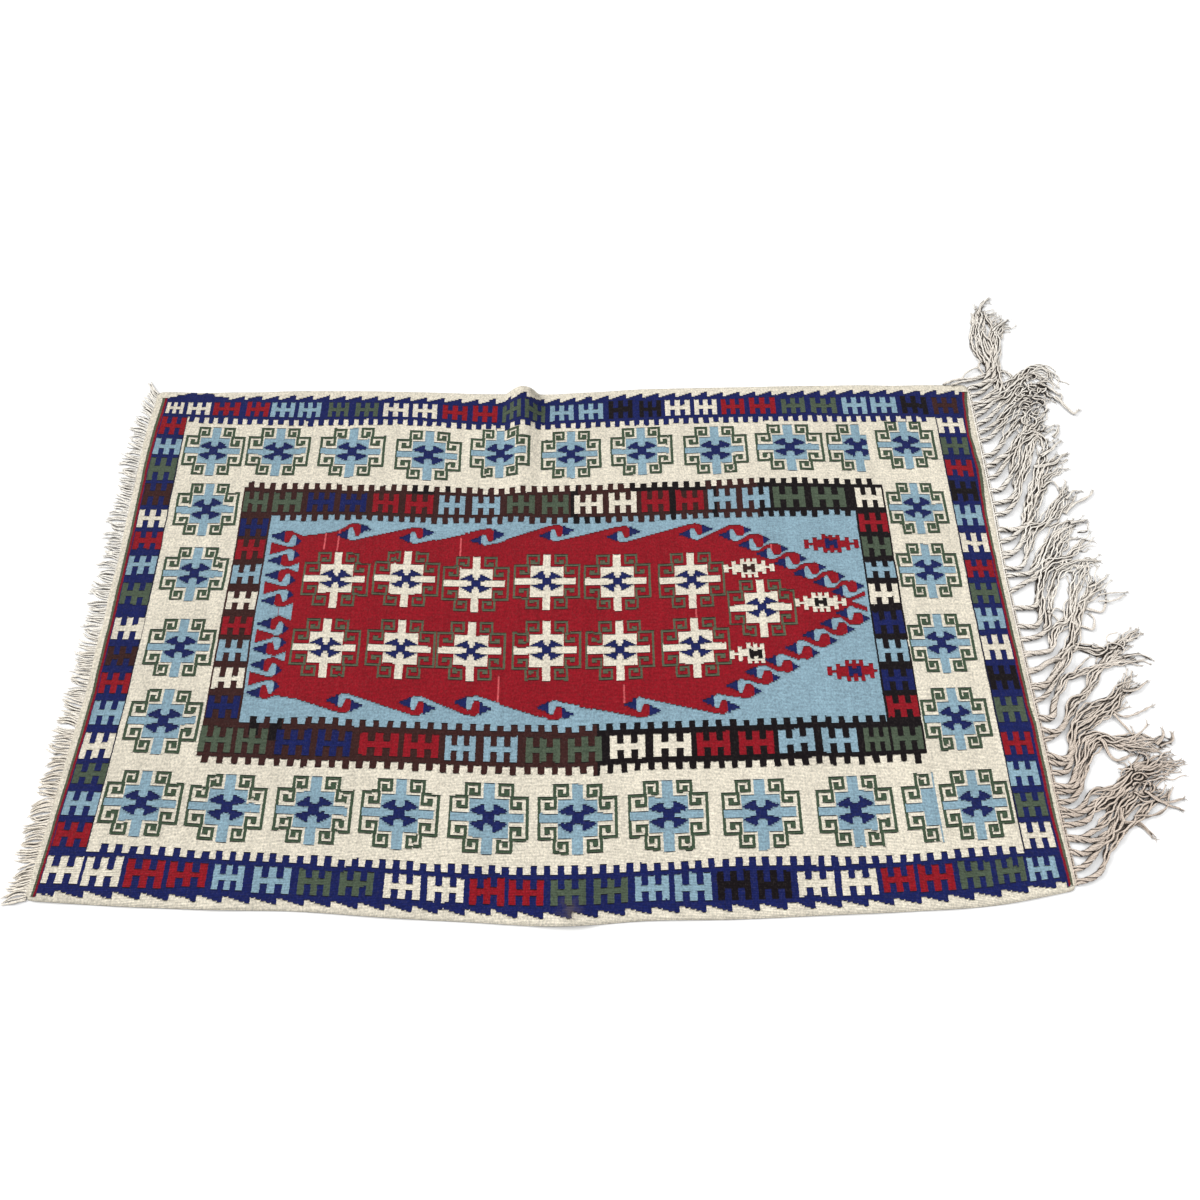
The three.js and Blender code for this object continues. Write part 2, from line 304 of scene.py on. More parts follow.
def up_to(stop, draw, *values, **options):
    """Draws a motif that is cut short where the weaver ran out of room."""
    limit[0] = stop
    draw(*values, **options)
    limit[0] = RIGHT


def box(x0, x1, y0, y1, colour):
    """A block of one colour, in chart millimetres."""
    chart[span(x0, x1, y0, y1)] = number(colour)


def shape(points, colour):
    """A closed outline of one colour, stepped by the warps."""
    points = np.array(points, float)
    (x0, y0), (x1, y1) = points.min(0), points.max(0)
    block = span(x0, x1, y0, y1)
    x, y = np.meshgrid(U[block[1]], V[block[0]])
    inside = np.zeros(x.shape, bool)
    for (ax, ay), (bx, by) in zip(points, np.roll(points, -1, 0)):
        if ay != by:
            inside ^= ((ay > y) != (by > y)) & (x < ax + (y - ay) * (bx - ax) / (by - ay))
    chart[block][inside] = number(colour)


def placed(points, x, y, fx=1, fy=1):
    """Points moved to a place, and mirrored where a factor is -1."""
    return [(x + fx * px, y + fy * py) for px, py in points]


def outline(points, colour):
    """A closed outline given on the cloth, such as an edge of the niche."""
    shape([in_chart(x, y) for x, y in points], colour)


def recolour(x0, x1, y0, y1, old, new):
    """Where the yarn changes part way along a band."""
    part = chart[span(x0, x1, y0, y1)]
    part[part == number(old)] = number(new)


SAW_ENDS = (-880, 870)
# The blue's stepped outline where the far saw starts
FAR_LEFT = [
    (-881, 500), (-880, 512), (-874, 517), (-860, 519), (-857, 523), (-841, 524), (-838, 527), (-820, 528),
    (-816, 525), (-803, 526), (-798, 529), (-786, 527), (-778, 526), (-775, 519), (-758, 520), (-745, 500),
]


# Motifs
# A comb's bars, as shares of its width and height
COMB_BAR, COMB_MIDDLE = 0.205, 0.25


def comb(x, y, wide, high, colour):
    """Three upright bars and a bar across their middles."""
    bar = COMB_BAR * wide
    for place in (-0.5, 0.0, 0.5):
        middle = x + place * (wide - bar)
        box(middle - bar / 2, middle + bar / 2, y - high / 2, y + high / 2, colour)
    half = COMB_MIDDLE / 2 * high
    box(x - wide / 2, x + wide / 2, y - half, y + half, colour)


# A tooth of a band's edge: half its width, how much it narrows, and how far it starts in the band
TOOTH_HALF, TOOTH_TAPER, TOOTH_ROOT = 6.3, 0.5, 1
TOOTH_STRAY = dict(half=0.6, reach=1.2, lean=1, pitch=0.8)


def teeth(x0, x1, start, pitch, line, reach, colour):
    """A row of narrow blocks that stand on a band's edge, one of them at start."""
    way = np.sign(reach)
    base = line - way * TOOTH_ROOT
    x = start + pitch * np.ceil((x0 - start) / pitch)
    while x < x1:
        half = TOOTH_HALF + stray(TOOTH_STRAY["half"])
        tip = line + reach + way * stray(TOOTH_STRAY["reach"])
        lean = stray(TOOTH_STRAY["lean"])
        shape([(x - half, base), (x + half, base), (x + lean + half - TOOTH_TAPER, tip),
               (x + lean - half + TOOTH_TAPER, tip)], colour)
        x += pitch + stray(TOOTH_STRAY["pitch"])


SAW_STEPS = 5
SAW_STRAY = 2
# The share of its lowest level at which a step of a saw starts, inside the blue band
SAW_ROOT = 0.9


def saw(line, begins, start, pitch, low, high):
    """A stepped blue edge beside a line, which climbs along the cloth and then drops back."""
    x = start
    low, high = LEVEL[line] + low, LEVEL[line] + high
    root = SAW_ROOT * low
    while x < RIGHT:
        run = pitch + stray(SAW_STRAY)
        for step in range(SAW_STEPS):
            top = low + (high - low) * step / (SAW_STEPS - 1)
            box(max(x + run * step / SAW_STEPS, begins), min(x + run * (step + 1) / SAW_STEPS, SAW_ENDS[1]),
                min(top, root), max(top, root), "royal")
        x += run


QUARTERS = [(-1, -1), (-1, 1), (1, -1), (1, 1)]
# The border's medallions are drawn heavier than those of the red field: width of the outlines
# along and across the cloth, share of the upright arm's width, blocks of a leaf in one quarter,
# half sizes of the heart, and the wool's colours
BOLD = dict(
    line=(5.8, 6.2), arm=1.0,
    leaf=[(5, 9, 3, 13.5), (8, 15, 4.5, 21.5), (15, 20, 5.5, 20), (20, 25, 6.5, 18), (25, 29, 7.5, 15.5),
          (29, 32, 9, 13)],
    heart=[(10, 7), (7, 9.5)], cross="sky", hooks="green", ground="ivory",
)
FINE = dict(
    line=(4.4, 5.2), arm=0.82,
    leaf=[(4, 8, 2.5, 12.5), (7, 13, 5, 19.5), (13, 18, 6, 17.5), (18, 23, 6.5, 15), (23, 28, 7, 12.5),
          (28, 32, 7.5, 10.5)],
    heart=[(9.5, 6), (6.5, 8.5)], cross="ivory", hooks="moss", ground="red",
)
# An outlined hook in a corner of a medallion: its box, and where its inner end stops
HOOKS = [dict(side=(36, 69), level=(14, 38), end=12), dict(side=(15, 43), level=(37, 61), end=8)]
# Length of the barb at its inner end, and how far the barb stands up from it
BARB = (10, 6.5)
# The blocks of the cross, the upright arm first: from and to along the cloth, then across it
CROSS = [(-10, 9, -62, 61), (-34, 34, -32, 32), (-66, 60, -8, 8)]


def quarter_box(x, y, mirror, p, q, colour):
    """A block at p from the upright middle line and q from the level one, in one quarter."""
    sx, sy = mirror
    xs = sorted(x + sx * end for end in p)
    ys = sorted(y + sy * end for end in q)
    box(*xs, *ys, colour)


def outlined_hook(x, y, mirror, hook, share, down_to, form):
    """A hook drawn with an outline, whose outer side runs down to a level."""
    p0, p1 = (share * p for p in hook["side"])
    q0, q1 = hook["level"]
    upright, lying = form["line"]
    stop = p1 - share * hook["end"]
    for p, q in (((p1 - upright, p1), (down_to, q1)), ((p0, p1), (q1 - lying, q1)),
                 ((p0, p0 + upright), (q0, q1)), ((p0, stop), (q0, q0 + lying)),
                 ((stop - BARB[0], stop), (q0, q0 + lying + BARB[1]))):
        quarter_box(x, y, mirror, p, q, form["hooks"])


def star(x, y, share, form):
    """Four stepped leaves that meet in a small heart."""
    for mirror in QUARTERS:
        for near, far, low, high in form["leaf"]:
            quarter_box(x, y, mirror, (share * near, share * far), (low, high), "navy")
    for wide, high in form["heart"]:
        box(x - wide * share, x + wide * share, y - high, y + high, "navy")


def medallion(x, y, half, form=BOLD, sides=(-1, 1), starred=True):
    """A cross with a dark star of four leaves, inside eight outlined hooks. half is half its
    length along the cloth, and sides are those on which it has hooks."""
    x, y = in_chart(x, y)
    y = NEAR + WARP * round((y - NEAR) / WARP)
    share = half / HOOKS[0]["side"][1]
    upright, lying = form["line"]
    (x0, x1, *ys), *others = CROSS
    arms = [(form["arm"] * x0, form["arm"] * x1, *ys), *others]
    arms = [(share * x0, share * x1, y0, y1) for x0, x1, y0, y1 in arms]
    for x0, x1, y0, y1 in arms:
        box(x + x0 - upright, x + x1 + upright, y + y0, y + y1, form["ground"])
        box(x + x0, x + x1, y + y0 - lying, y + y1 + lying, form["ground"])
    for mirror in QUARTERS:
        if mirror[0] in sides:
            outlined_hook(x, y, mirror, HOOKS[0], share, 0, form)
            outlined_hook(x, y, mirror, HOOKS[1], share, HOOKS[0]["level"][1] - lying, form)
    for x0, x1, y0, y1 in arms:
        box(x + x0, x + x1, y + y0, y + y1, form["cross"])
    if starred:
        star(x, y, share, form)


# Half of a beetle figure: from, to and half height of each block
BEETLE = [(0, 4, 21), (4, 9, 14), (9, 17, 21), (17, 26, 8.5), (26, 34, 15), (34, 42, 2.5), (42, 51, 9)]
# Its heart: two eyes beside the middle, and a bar between them
BEETLE_EYE = (4, 12.5, 9)
BEETLE_BAR = (5, 4)


def beetle(x, y, colour, heart, size):
    """A figure that is the same to both sides, with a heart of another colour."""
    x, y = in_chart(x, y)
    for blocks, share, wool in ((BEETLE, size, colour), ([BEETLE_EYE], 1, heart)):
        for side in (-1, 1):
            for near, far, half in blocks:
                xs = sorted((x + side * share * near, x + side * share * far))
                box(*xs, y - half, y + half, wool)
    wide, high = BEETLE_BAR
    box(x - wide, x + wide, y - high, y + high, heart)


LEAF_HIGH = 10.5
# How far a leaf's middle line lies from its hook's
LEAF_OFF = 6


def leaf_outline(base, tip, middle, high):
    """A stepped leaf that lies along the cloth, from its base to its tip."""
    upper = [(0, 1), (0.2, 1), (0.3, 0.65), (0.6, 0.55), (0.7, 0.3), (1, 0.2)]
    side = [(base + (tip - base) * share, high * half) for share, half in upper]
    return [(px, middle + half) for px, half in side] + [(px, middle - half) for px, half in reversed(side)]


def hook(x, y, sky, red, sky_leaf, red_leaf, red_high=LEAF_HIGH, fx=1, fy=1):
    """Two hooks that hold each other on the niche's edge, each with a dark leaf on its back.
    sky and red are the widths of their heads, and the leaves have their own lengths."""
    diagonal = [(-0.3 * sky, 8), (0.2 * red, -8)]
    head = [(0.3 * red, -19), (-0.5 * sky, -19), (-sky, -14), (-sky, 4), (-0.8 * sky, 8)] + diagonal
    other = [(-0.3 * sky, 19), (0.5 * red, 19), (red, 14), (red, -4), (0.8 * red, -8)] + diagonal[::-1]
    leaves = [leaf_outline(-sky, -sky - sky_leaf, -LEAF_OFF, LEAF_HIGH),
              leaf_outline(red, red + red_leaf, LEAF_OFF, red_high)]
    for points, colour in zip([head, other, *leaves], ("sky", "red", "navy", "navy")):
        outline(placed(points, x, y, fx, fy), colour)


# Ground and bands
# A dark line that parts the side bands from the ivory, and how much shorter it is at its ends
INK_LINE = 3
INK_SHORT = 4


def ground():
    """The plain areas under everything else."""
    near, far = LEVEL["near_blue"], LEVEL["far_blue"]
    chart[:] = number("ivory")
    box(LEVEL["left_blue_out"], LEVEL["right_blue_out"], LEVEL["near_saw"], LEVEL["far_saw"], "royal")
    box(LEVEL["left_blue_in"], LEVEL["right_blue_in"], near, far, "ivory")
    for start in (LEVEL["left_blue_in"] - INK_LINE, LEVEL["right_blue_in"]):
        box(start, start + INK_LINE, near + INK_SHORT, far - INK_SHORT, "ink")
    for line, colour in (("guard_out", "brown"), ("guard_in", "sky")):
        box(*(LEVEL[f"{side}_{line}"] for side in ("left", "right", "near", "far")), colour)


# How far the right end's stripes stray outwards, at places across the cloth
STRAY = [
    (-528, 2), (-400, 1.5), (-330, 2.5), (-260, 3), (-200, 0), (60, -1), (160, -2), (200, -1.5),
    (240, 1), (300, 4.5), (320, 5), (360, 2), (400, -1), (440, 1), (480, 4.5), (528, 8.5),
]
# Stripes at both ends: from and to, outwards from the blue band's edge
STRIPES = [(-1, 0.5, "royal"), (0.5, 5.3, "crimson"), (5.3, 10.3, "moss")]
# How far past the blue band's corners they run
STRIPE_OVER = dict(near=8, far=4)


def strayed(y):
    """How far the stripes stray at y, eased from one place to the next."""
    places, offs = zip(*STRAY)
    i = min(max(np.searchsorted(places, y) - 1, 0), len(places) - 2)
    t = (y - places[i]) / (places[i + 1] - places[i])
    return offs[i] + (offs[i + 1] - offs[i]) * t * t * (3 - 2 * t)


def end_stripes():
    """Narrow stripes outside the blue at both ends. Only the right end's stray."""
    ys = np.arange(LEVEL["near_saw"] - STRIPE_OVER["near"], LEVEL["far_saw"] + STRIPE_OVER["far"], 2 * WARP)
    for x, way, share in ((LEVEL["left_blue_out"], -1, 0), (LEVEL["right_blue_out"], 1, 1)):
        offs = [share * strayed(y) for y in ys]
        for start, end, colour in STRIPES:
            inner = [x + way * (start + (off if start > 0 else 0)) for off in offs]
            outer = [x + way * (end + off) for off in offs]
            shape(list(zip(inner, ys)) + list(zip(outer, ys))[::-1], colour)


# Rows of teeth: from and to along the cloth, the place of one tooth, their pitch, the line on
# which they stand, how far they reach across the cloth, and their colour
TEETH = [
    (-812, 805, -380.5, 21.5, "far_blue", -15, "royal"),
    (-805, 800, -311.7, 24.05, "near_blue", 14, "royal"),
    (-664, 668, -655, 23, "far_guard_out", 15, "brown"),
    (-664, 668, -294.4, 25.6, "near_guard_out", -13, "brown"),
    (-598, 603, -490.5, 22.6, "far_guard_in", -12, "brown"),
    (-598, 603, -296, 25.6, "near_guard_in", 13, "brown"),
]
# The saws: where each begins, the place and length of its runs, and how far past its line a run
# starts and ends
FAR_SAW = dict(line="far_saw", begins=-766, start=-884, pitch=36.4, low=-6, high=4.5)
NEAR_SAW = dict(line="near_saw", begins=-880, start=-900, pitch=46, low=6, high=-4)
# How far inside the line the ivory under the saws starts
SAW_GROUND = dict(far=8, near=10)


def edges():
    """The saws along the cloth's long edges, and the teeth on the bands."""
    box(*SAW_ENDS, LEVEL["far_saw"] - SAW_GROUND["far"], FAR, "ivory")
    box(*SAW_ENDS, NEAR, LEVEL["near_saw"] + SAW_GROUND["near"], "ivory")
    saw(**FAR_SAW)
    outline(FAR_LEFT, "royal")
    saw(**NEAR_SAW)
    for x0, x1, start, pitch, line, reach, colour in TEETH:
        teeth(x0, x1, start, pitch, LEVEL[line], reach, colour)


COLOUR_OF = {"w": "ivory", "r": "red", "s": "sky", "o": "olive", "k": "black", "n": "brown", "b": "royal"}
# Rows of combs: a letter for each colour, and where each comb starts and ends along the cloth
FAR_COMBS = [
    ("ww", (-879, -838, -832, -780)), ("rr", (-773, -715, -700, -652)), ("ss", (-644, -595, -585, -537)),
    ("oo", (-520, -475, -460, -410)), ("ww", (-398, -343, -333, -280)), ("rr", (-267, -214, -202, -148)),
    ("oo", (-136, -94, -85, -43)), ("ss", (-32, 20, 32, 85)), ("kk", (97, 150, 165, 213)),
    ("ww", (222, 276, 286, 335)), ("rr", (345, 396, 408, 465)), ("oo", (478, 530, 543, 600)),
    ("ss", (613, 666, 676, 732)), ("kn", (743, 800, 815, 865)),
]
NEAR_COMBS = [
    ("ww", (-896, -836, -824, -764)), ("rr", (-751, -690, -677, -613)), ("ss", (-600, -547, -530, -465)),
    ("oo", (-452, -395, -380, -322)), ("ww", (-303, -240, -228, -165)), ("rr", (-155, -95, -88, -27)),
    ("oo", (-15, 45, 58, 118)), ("ss", (130, 188, 198, 262)), ("kk", (272, 330, 342, 400)),
    ("ww", (412, 475, 487, 548)), ("rr", (557, 615, 622, 682)), ("oo", (692, 748, 758, 808)),
    ("s", (815, 862)),
]
FAR_GUARD = [
    ("oo", (-668, -618, -607, -548)), ("bb", (-535, -480, -467, -412)), ("rr", (-398, -345, -330, -272)),
    ("ss", (-260, -205, -190, -133)), ("oo", (-118, -60, -45, 10)), ("ww", (22, 82, 95, 152)),
    ("rr", (163, 220, 235, 293)), ("ss", (303, 362, 375, 432)), ("oo", (440, 505, 520, 590)),
    ("w", (612, 668)),
]
NEAR_GUARD = [
    ("oo", (-668, -610, -600, -543)), ("bb", (-527, -462, -450, -387)), ("rr", (-372, -300, -290, -225)),
    ("ss", (-213, -158, -143, -80)), ("oo", (-65, -2, 12, 75)), ("ww", (90, 155, 170, 240)),
    ("rr", (250, 312, 328, 393)), ("ss", (402, 468, 482, 547)), ("oo", (560, 607, 612, 668)),
]
LEFT_COMBS = [
    ("rsonwr", (420, 465, 367, 407, 305, 358, 245, 295, 190, 232, 138, 180)),
    ("sownrs", (83, 125, 13, 65, -60, -10, -113, -72, -167, -125, -228, -180)),
    ("wosr", (-290, -243, -340, -298, -395, -350, -450, -405)),
]
RIGHT_COMBS = [
    ("worksw", (408, 450, 352, 397, 298, 340, 238, 285, 178, 228, 117, 163)),
    ("roswko", (60, 100, 5, 50, -52, -5, -115, -65, -173, -127, -237, -187)),
    ("rsow", (-300, -255, -355, -310, -410, -367, -465, -420)),
]
LEFT_GUARD = [
    ("brsw", (168, 210, 115, 160, 60, 103, 2, 44)), ("rswb", (-51, -10, -104, -61, -159, -117, -217, -172)),
]
RIGHT_GUARD = [
    ("rosw", (166, 211, 112, 157, 61, 100, 3, 48)), ("bsbr", (-59, -12, -117, -71, -173, -131, -227, -183)),
]
# The bands of combs: the middle line of each in the chart, and the combs' size across the band
ALONG_BANDS = [(FAR_COMBS, 480, 41), (NEAR_COMBS, -515, 41), (FAR_GUARD, 243, 47), (NEAR_GUARD, -271, 44)]
ACROSS_BANDS = [
    (LEFT_COMBS, -851, 56), (RIGHT_COMBS, 841, 54), (LEFT_GUARD, -637, 58), (RIGHT_GUARD, 640, 58),
]
# Where the brown yarn of the inner bands turns nearly black
BLACK = [
    (-318, -270, 270, 300), (-247, -232, 276, 300), (15, 30, 190, 300), (20, 82, 190, 212),
    (140, 300, 268, 300), (222, 235, 200, 300), (310, 321, 200, 300), (408, 680, 190, 300),
    (607, 680, -330, 300), (-583, -565, -262, -220), (-545, -523, -270, -220), (65, 680, -330, -220),
]


def combs_of(groups):
    """The colour, start and end of each comb of a band."""
    for letters, ends in groups:
        for letter, start, end in zip(letters, ends[::2], ends[1::2]):
            yield COLOUR_OF[letter], start, end


def bands():
    """Combs side by side along the cloth, and one below the other in the upright bands."""
    for groups, at, high in ALONG_BANDS:
        for colour, x0, x1 in combs_of(groups):
            x = (x0 + x1) / 2
            u, _ = in_chart(x, float(on_cloth(x, at)[1]))
            comb(u, at + stray(1), x1 - x0, high, colour)
    for groups, at, wide in ACROSS_BANDS:
        for colour, y0, y1 in combs_of(groups):
            y = (y0 + y1) / 2
            _, v = in_chart(float(on_cloth(at, y)[0]), y)
            comb(at + stray(1), v, wide, y1 - y0, colour)
    for place in BLACK:
        recolour(*place, "brown", "black")


# Medallions of the ivory band: middle along and across the cloth, and half length
BORDER = [
    (-754, 377, 66), (-614, 373, 66), (-456, 372, 71), (-291, 362, 71), (-137, 362, 65), (15, 361, 65),
    (167, 369, 67), (326, 371, 69), (486, 375, 73), (738, 378, 63),
    (-743, 232, 66), (-741, 84, 66), (-739, -76, 67), (-742, -222, 68),
    (737, 223, 61), (737, 78, 62), (736, -77, 63), (737, -229, 63),
    (-751, -372, 68), (-597, -381, 69), (-441, -388, 70), (-287, -395, 71), (-128, -404, 72), (31, -407, 72),
    (193, -402, 72), (359, -400, 71), (528, -396, 70), (745, -388, 62),
]
# Medallions for which the weaver ran out of room: the same, where each stops, and whether it has a star
PARTIAL = [(633, 374, 66, 655, True), (683, -391, 69, 676, False)]
# Middles of the medallions of the red field
FIELD = [
    (-455, 69), (-314, 67), (-174, 56), (-32, 59), (109, 58), (258, 60),
    (-458, -78), (-312, -82), (-176, -88), (-30, -87), (112, -88), (259, -83), (394, -1),
]
FIELD_HALF = 67


def borders():
    for x, y, half in BORDER:
        medallion(x, y, half)
    for x, y, half, stop, starred in PARTIAL:
        up_to(stop, medallion, x, y, half, sides=(-1,), starred=starred)


# Niche
# Places of the hooks along its long edges and on the way to its point
FAR_HOOKS = [(-430, 174), (-301, 166), (-156, 161), (-14, 169), (123, 165), (272, 170)]
FAR_CORNER = [(352, 167), (390, 144), (425, 123), (461, 102), (497, 80), (534, 59), (568, 38)]
NEAR_HOOKS = [(-409, -190), (-272, -196), (-167, -198), (-12, -208), (152, -204), (299, -198)]
NEAR_CORNER = [(345, -168), (383, -141), (422, -117), (464, -91), (501, -66), (537, -43), (571, -21)]
# How the edge runs up to the first hook, and on to the point
END_X = -559
FAR_START = [(END_X, 178), (-545, 172), (-533, 167), (-500, 171), (-470, 176), (-455, 183)]
FAR_END = [(601, 33), (602, 23)]
NEAR_START = [(END_X, -180), (-540, -174), (-500, -181), (-455, -196)]
NEAR_END = [(602, -12), (602, -2)]
POINT_NOTCH = (572, 11)
# Hooks of the square end: place across the cloth, and the way that each looks
END_HOOKS = [(160, 1), (117, -1), (72, 1), (28, -1), (-33, 1), (-74, -1), (-118, 1), (-162, -1)]
EDGE = dict(sky=12, red=13, sky_leaf=22, red_leaf=22)
CORNER = dict(sky=10.5, red=19, sky_leaf=22, red_leaf=14, red_high=8)
END = dict(sky=12.5, red=12, sky_leaf=11, red_leaf=26)
# How far the edge reaches across the cloth beside a hook, and how far along the cloth it climbs
REACH = 17.5
CLIMB = 0.1


def niche_edge(start, hooks, end, way):
    """The line between the red and the sky blue: from each hook's foot up to the next one's head."""
    line = list(start)
    for x, y, form in hooks:
        line += [(x - form["sky"], y + way * REACH), (x - CLIMB, y + way * (REACH + 1))]
        line += [(x, y - way * (REACH + 1)), (x + 0.5 * form["red"], y - way * REACH)]
    return line + list(end)


def niche():
    """The red field inside its edge, and the hooks on the edge."""
    far = [(x, y, EDGE) for x, y in FAR_HOOKS] + [(x, y, CORNER) for x, y in FAR_CORNER]
    near = [(x, y, EDGE) for x, y in NEAR_HOOKS] + [(x, y, CORNER) for x, y in NEAR_CORNER]
    top = niche_edge(FAR_START, far, FAR_END, 1)
    bottom = niche_edge(NEAR_START, near, NEAR_END, -1)
    outline(top + [POINT_NOTCH] + bottom[::-1], "red")
    for hooks, way in ((far, 1), (near, -1)):
        for x, y, form in hooks:
            hook(x, y, **form, fy=way)


# The upper half of a red wedge at the square end, and half of a sky blue one: along the cloth,
# and across it, from the wedge's middle or from its end
RED_WEDGE = [(-596, 14), (-563, 4), (END_X, 3)]
SKY_WEDGE = [(-533, 0), (-552, -8), (END_X, -8)]
SKY_WEDGE_SHORT = 12


def wedge(side, y, colour):
    """A wedge that is the same above and below y."""
    outline([(x, y - half) for x, half in side] + [(x, y + half) for x, half in side[::-1]], colour)


def end_blocks():
    """The red and sky blue wedges between the hooks at the niche's square end."""
    places = [y for y, _ in END_HOOKS]
    for upper, lower in zip(places[::2], places[1::2]):
        wedge(RED_WEDGE, (upper + lower) / 2, "red")
    for upper, lower in zip(places[1::2], places[2::2]):
        end = (upper - lower) / 2 - SKY_WEDGE_SHORT
        wedge([(x, end + off) for x, off in SKY_WEDGE], (upper + lower) / 2, "sky")
    for y, way in END_HOOKS:
        hook(END_X, y, **END, fx=-1, fy=way)


# Beetle figures: where each stops along the cloth, its middle, its colours, and its size along it
BEETLES = [
    (RIGHT, 375, 86, "ivory", "brown", 1.0), (RIGHT, 511, 9, "ivory", "black", 1.0),
    (391, 374, -98, "ivory", "black", 1.0), (604, 548, 139, "red", "royal", 1.09),
    (604, 561, -134, "red", "royal", 1.06),
]


def field():
    for x, y in FIELD:
        medallion(x, y, FIELD_HALF, FINE)
    for stop, *figure in BEETLES:
        up_to(stop, beetle, *figure)


# Picks of a paler red: place, and from and to across the cloth
PINK = [
    (-487, 130, 174), (-460, 128, 178), (-209, 118, 166), (-120, -193, -131), (118, -189, -152),
    (424, 117, 136), (264, -40, 28),
]
PINK_HALF = 1.8


def streaks():
    for x, y0, y1 in PINK:
        u, _ = in_chart(x, (y0 + y1) / 2)
        recolour(u - PINK_HALF, u + PINK_HALF, y0, y1, "red", "pink")


ground()
edges()
bands()
end_stripes()
borders()
niche()
end_blocks()
field()
streaks()


# How far the pattern's edges stray, in picks and warps, and over how many picks and warps that
# changes, and how far a single warp strays from the next, and over how many picks
UNEVEN = dict(picks=1.7, warps=0.8, each=0.7, long=90, wide=14, each_long=37)


def soft_field(long, wide):
    """Smooth random numbers over the chart, drawn every so many picks and warps."""
    r, c = np.arange(ROWS) / wide, np.arange(COLUMNS) / long
    coarse = uneven((int(r[-1]) + 2, int(c[-1]) + 2))
    ri, ci = r.astype(int), c.astype(int)
    rt, ct = (r - ri)[:, None], (c - ci)[None]
    near = coarse[ri][:, ci] * (1 - ct) + coarse[ri][:, ci + 1] * ct
    far = coarse[ri + 1][:, ci] * (1 - ct) + coarse[ri + 1][:, ci + 1] * ct
    return near * (1 - rt) + far * rt


def woven_unevenly():
    """The chart as a weaver follows it: edges stray by a pick or two, or by a warp."""
    warps = UNEVEN["warps"] * soft_field(UNEVEN["long"], UNEVEN["wide"])
    picks = UNEVEN["picks"] * soft_field(UNEVEN["long"], UNEVEN["wide"])
    picks = picks + UNEVEN["each"] * uneven((ROWS, 1)) * np.sign(soft_field(UNEVEN["each_long"], 1))
    row = np.clip(np.arange(ROWS)[:, None] + np.rint(warps).astype(int), 0, ROWS - 1)
    column = np.clip(np.arange(COLUMNS)[None] + np.rint(picks).astype(int), 0, COLUMNS - 1)
    return chart[row, column]


chart = woven_unevenly()


# Materials: short forms for making nodes
class Graph:
    """A material's nodes. Each method returns the output of the node that it makes."""

    def __init__(self, name):
        self.material = bpy.data.materials.new(name)
        self.material.use_nodes = True
        self.tree = self.material.node_tree
        self.surface = self.tree.nodes["Principled BSDF"]

    def feed(self, socket, value):
        if isinstance(value, bpy.types.NodeSocket):
            self.tree.links.new(value, socket)
        else:
            socket.default_value = value

    def made(self, kind, *values, output=0, **settings):
        """A node with its settings and its first inputs."""
        node = self.tree.nodes.new("ShaderNode" + kind)
        for name, setting in settings.items():
            setattr(node, name, setting)
        for socket, value in zip(node.inputs, values):
            self.feed(socket, value)
        return node.outputs[output]

    def math(self, operation, *values, clamp=False):
        return self.made("Math", *values, operation=operation, use_clamp=clamp)

    def plus(self, first, second):
        return self.math("ADD", first, second)

    def times(self, first, second):
        return self.math("MULTIPLY", first, second)

    def vector(self, operation, *values):
        output = "Value" if operation == "DOT_PRODUCT" else "Vector"
        return self.made("VectorMath", *values, output=output, operation=operation)

    def parts(self, vector):
        return self.made("SeparateXYZ", vector).node.outputs

    def joined(self, x, y, z):
        return self.made("CombineXYZ", x, y, z)

    def values(self, name, output="Vector"):
        return self.made("Attribute", output=output, attribute_name=name)

    def uv(self, name):
        return self.made("UVMap", uv_map=name)

    def place(self):
        return self.made("TexCoord", output="Object")

    def noise(self, place, scale, detail, rough, squeeze=None):
        """A soft noise round 0.5, with scale in turns a metre, drawn out along an axis whose
        squeeze is small."""
        node = self.tree.nodes.new("ShaderNodeTexNoise")
        self.feed(node.inputs["Vector"], self.vector("MULTIPLY", place, squeeze) if squeeze else place)
        node.inputs["Scale"].default_value = scale
        node.inputs["Detail"].default_value = detail
        node.inputs["Roughness"].default_value = rough
        return node.outputs["Fac"]

    def stretch(self, value, low, high, to_low=0.0, to_high=1.0, smooth=False):
        """Turns the range from low to high into that from to_low to to_high."""
        kind = "SMOOTHSTEP" if smooth else "LINEAR"
        return self.made("MapRange", value, low, high, to_low, to_high, interpolation_type=kind)

    def mottle(self, place, noise, stretch):
        return self.stretch(self.noise(place, *noise), *stretch)

    def mix(self, share, first, second, blend="MIX"):
        node = self.made("Mix", share, data_type="RGBA", blend_type=blend).node
        colours = [socket for socket in node.inputs if socket.type == "RGBA"]
        self.feed(colours[0], first)
        self.feed(colours[1], second)
        return [socket for socket in node.outputs if socket.type == "RGBA"][0]

    def shaded(self, colour, shade):
        return self.mix(1.0, colour, self.joined(shade, shade, shade), "MULTIPLY")

    def finished(self, colour, height, depth, strength, surface):
        """The material, from its colour, its relief and the surface's constants."""
        node = self.tree.nodes.new("ShaderNodeBump")
        node.inputs["Strength"].default_value = strength
        node.inputs["Distance"].default_value = depth
        self.feed(node.inputs["Height"], height)
        self.feed(self.surface.inputs["Base Color"], colour)
        self.feed(self.surface.inputs["Normal"], node.outputs[0])
        for name, value in surface.items():
            self.surface.inputs[name].default_value = value
        return self.material


def linear(red, green, blue):
    """A colour named by its usual 0 to 255 values, as the shader wants it."""
    def one(value):
        share = value / 255
        return share / 12.92 if share <= 0.04045 else ((share + 0.055) / 1.055) ** 2.4
    return (one(red), one(green), one(blue), 1.0)


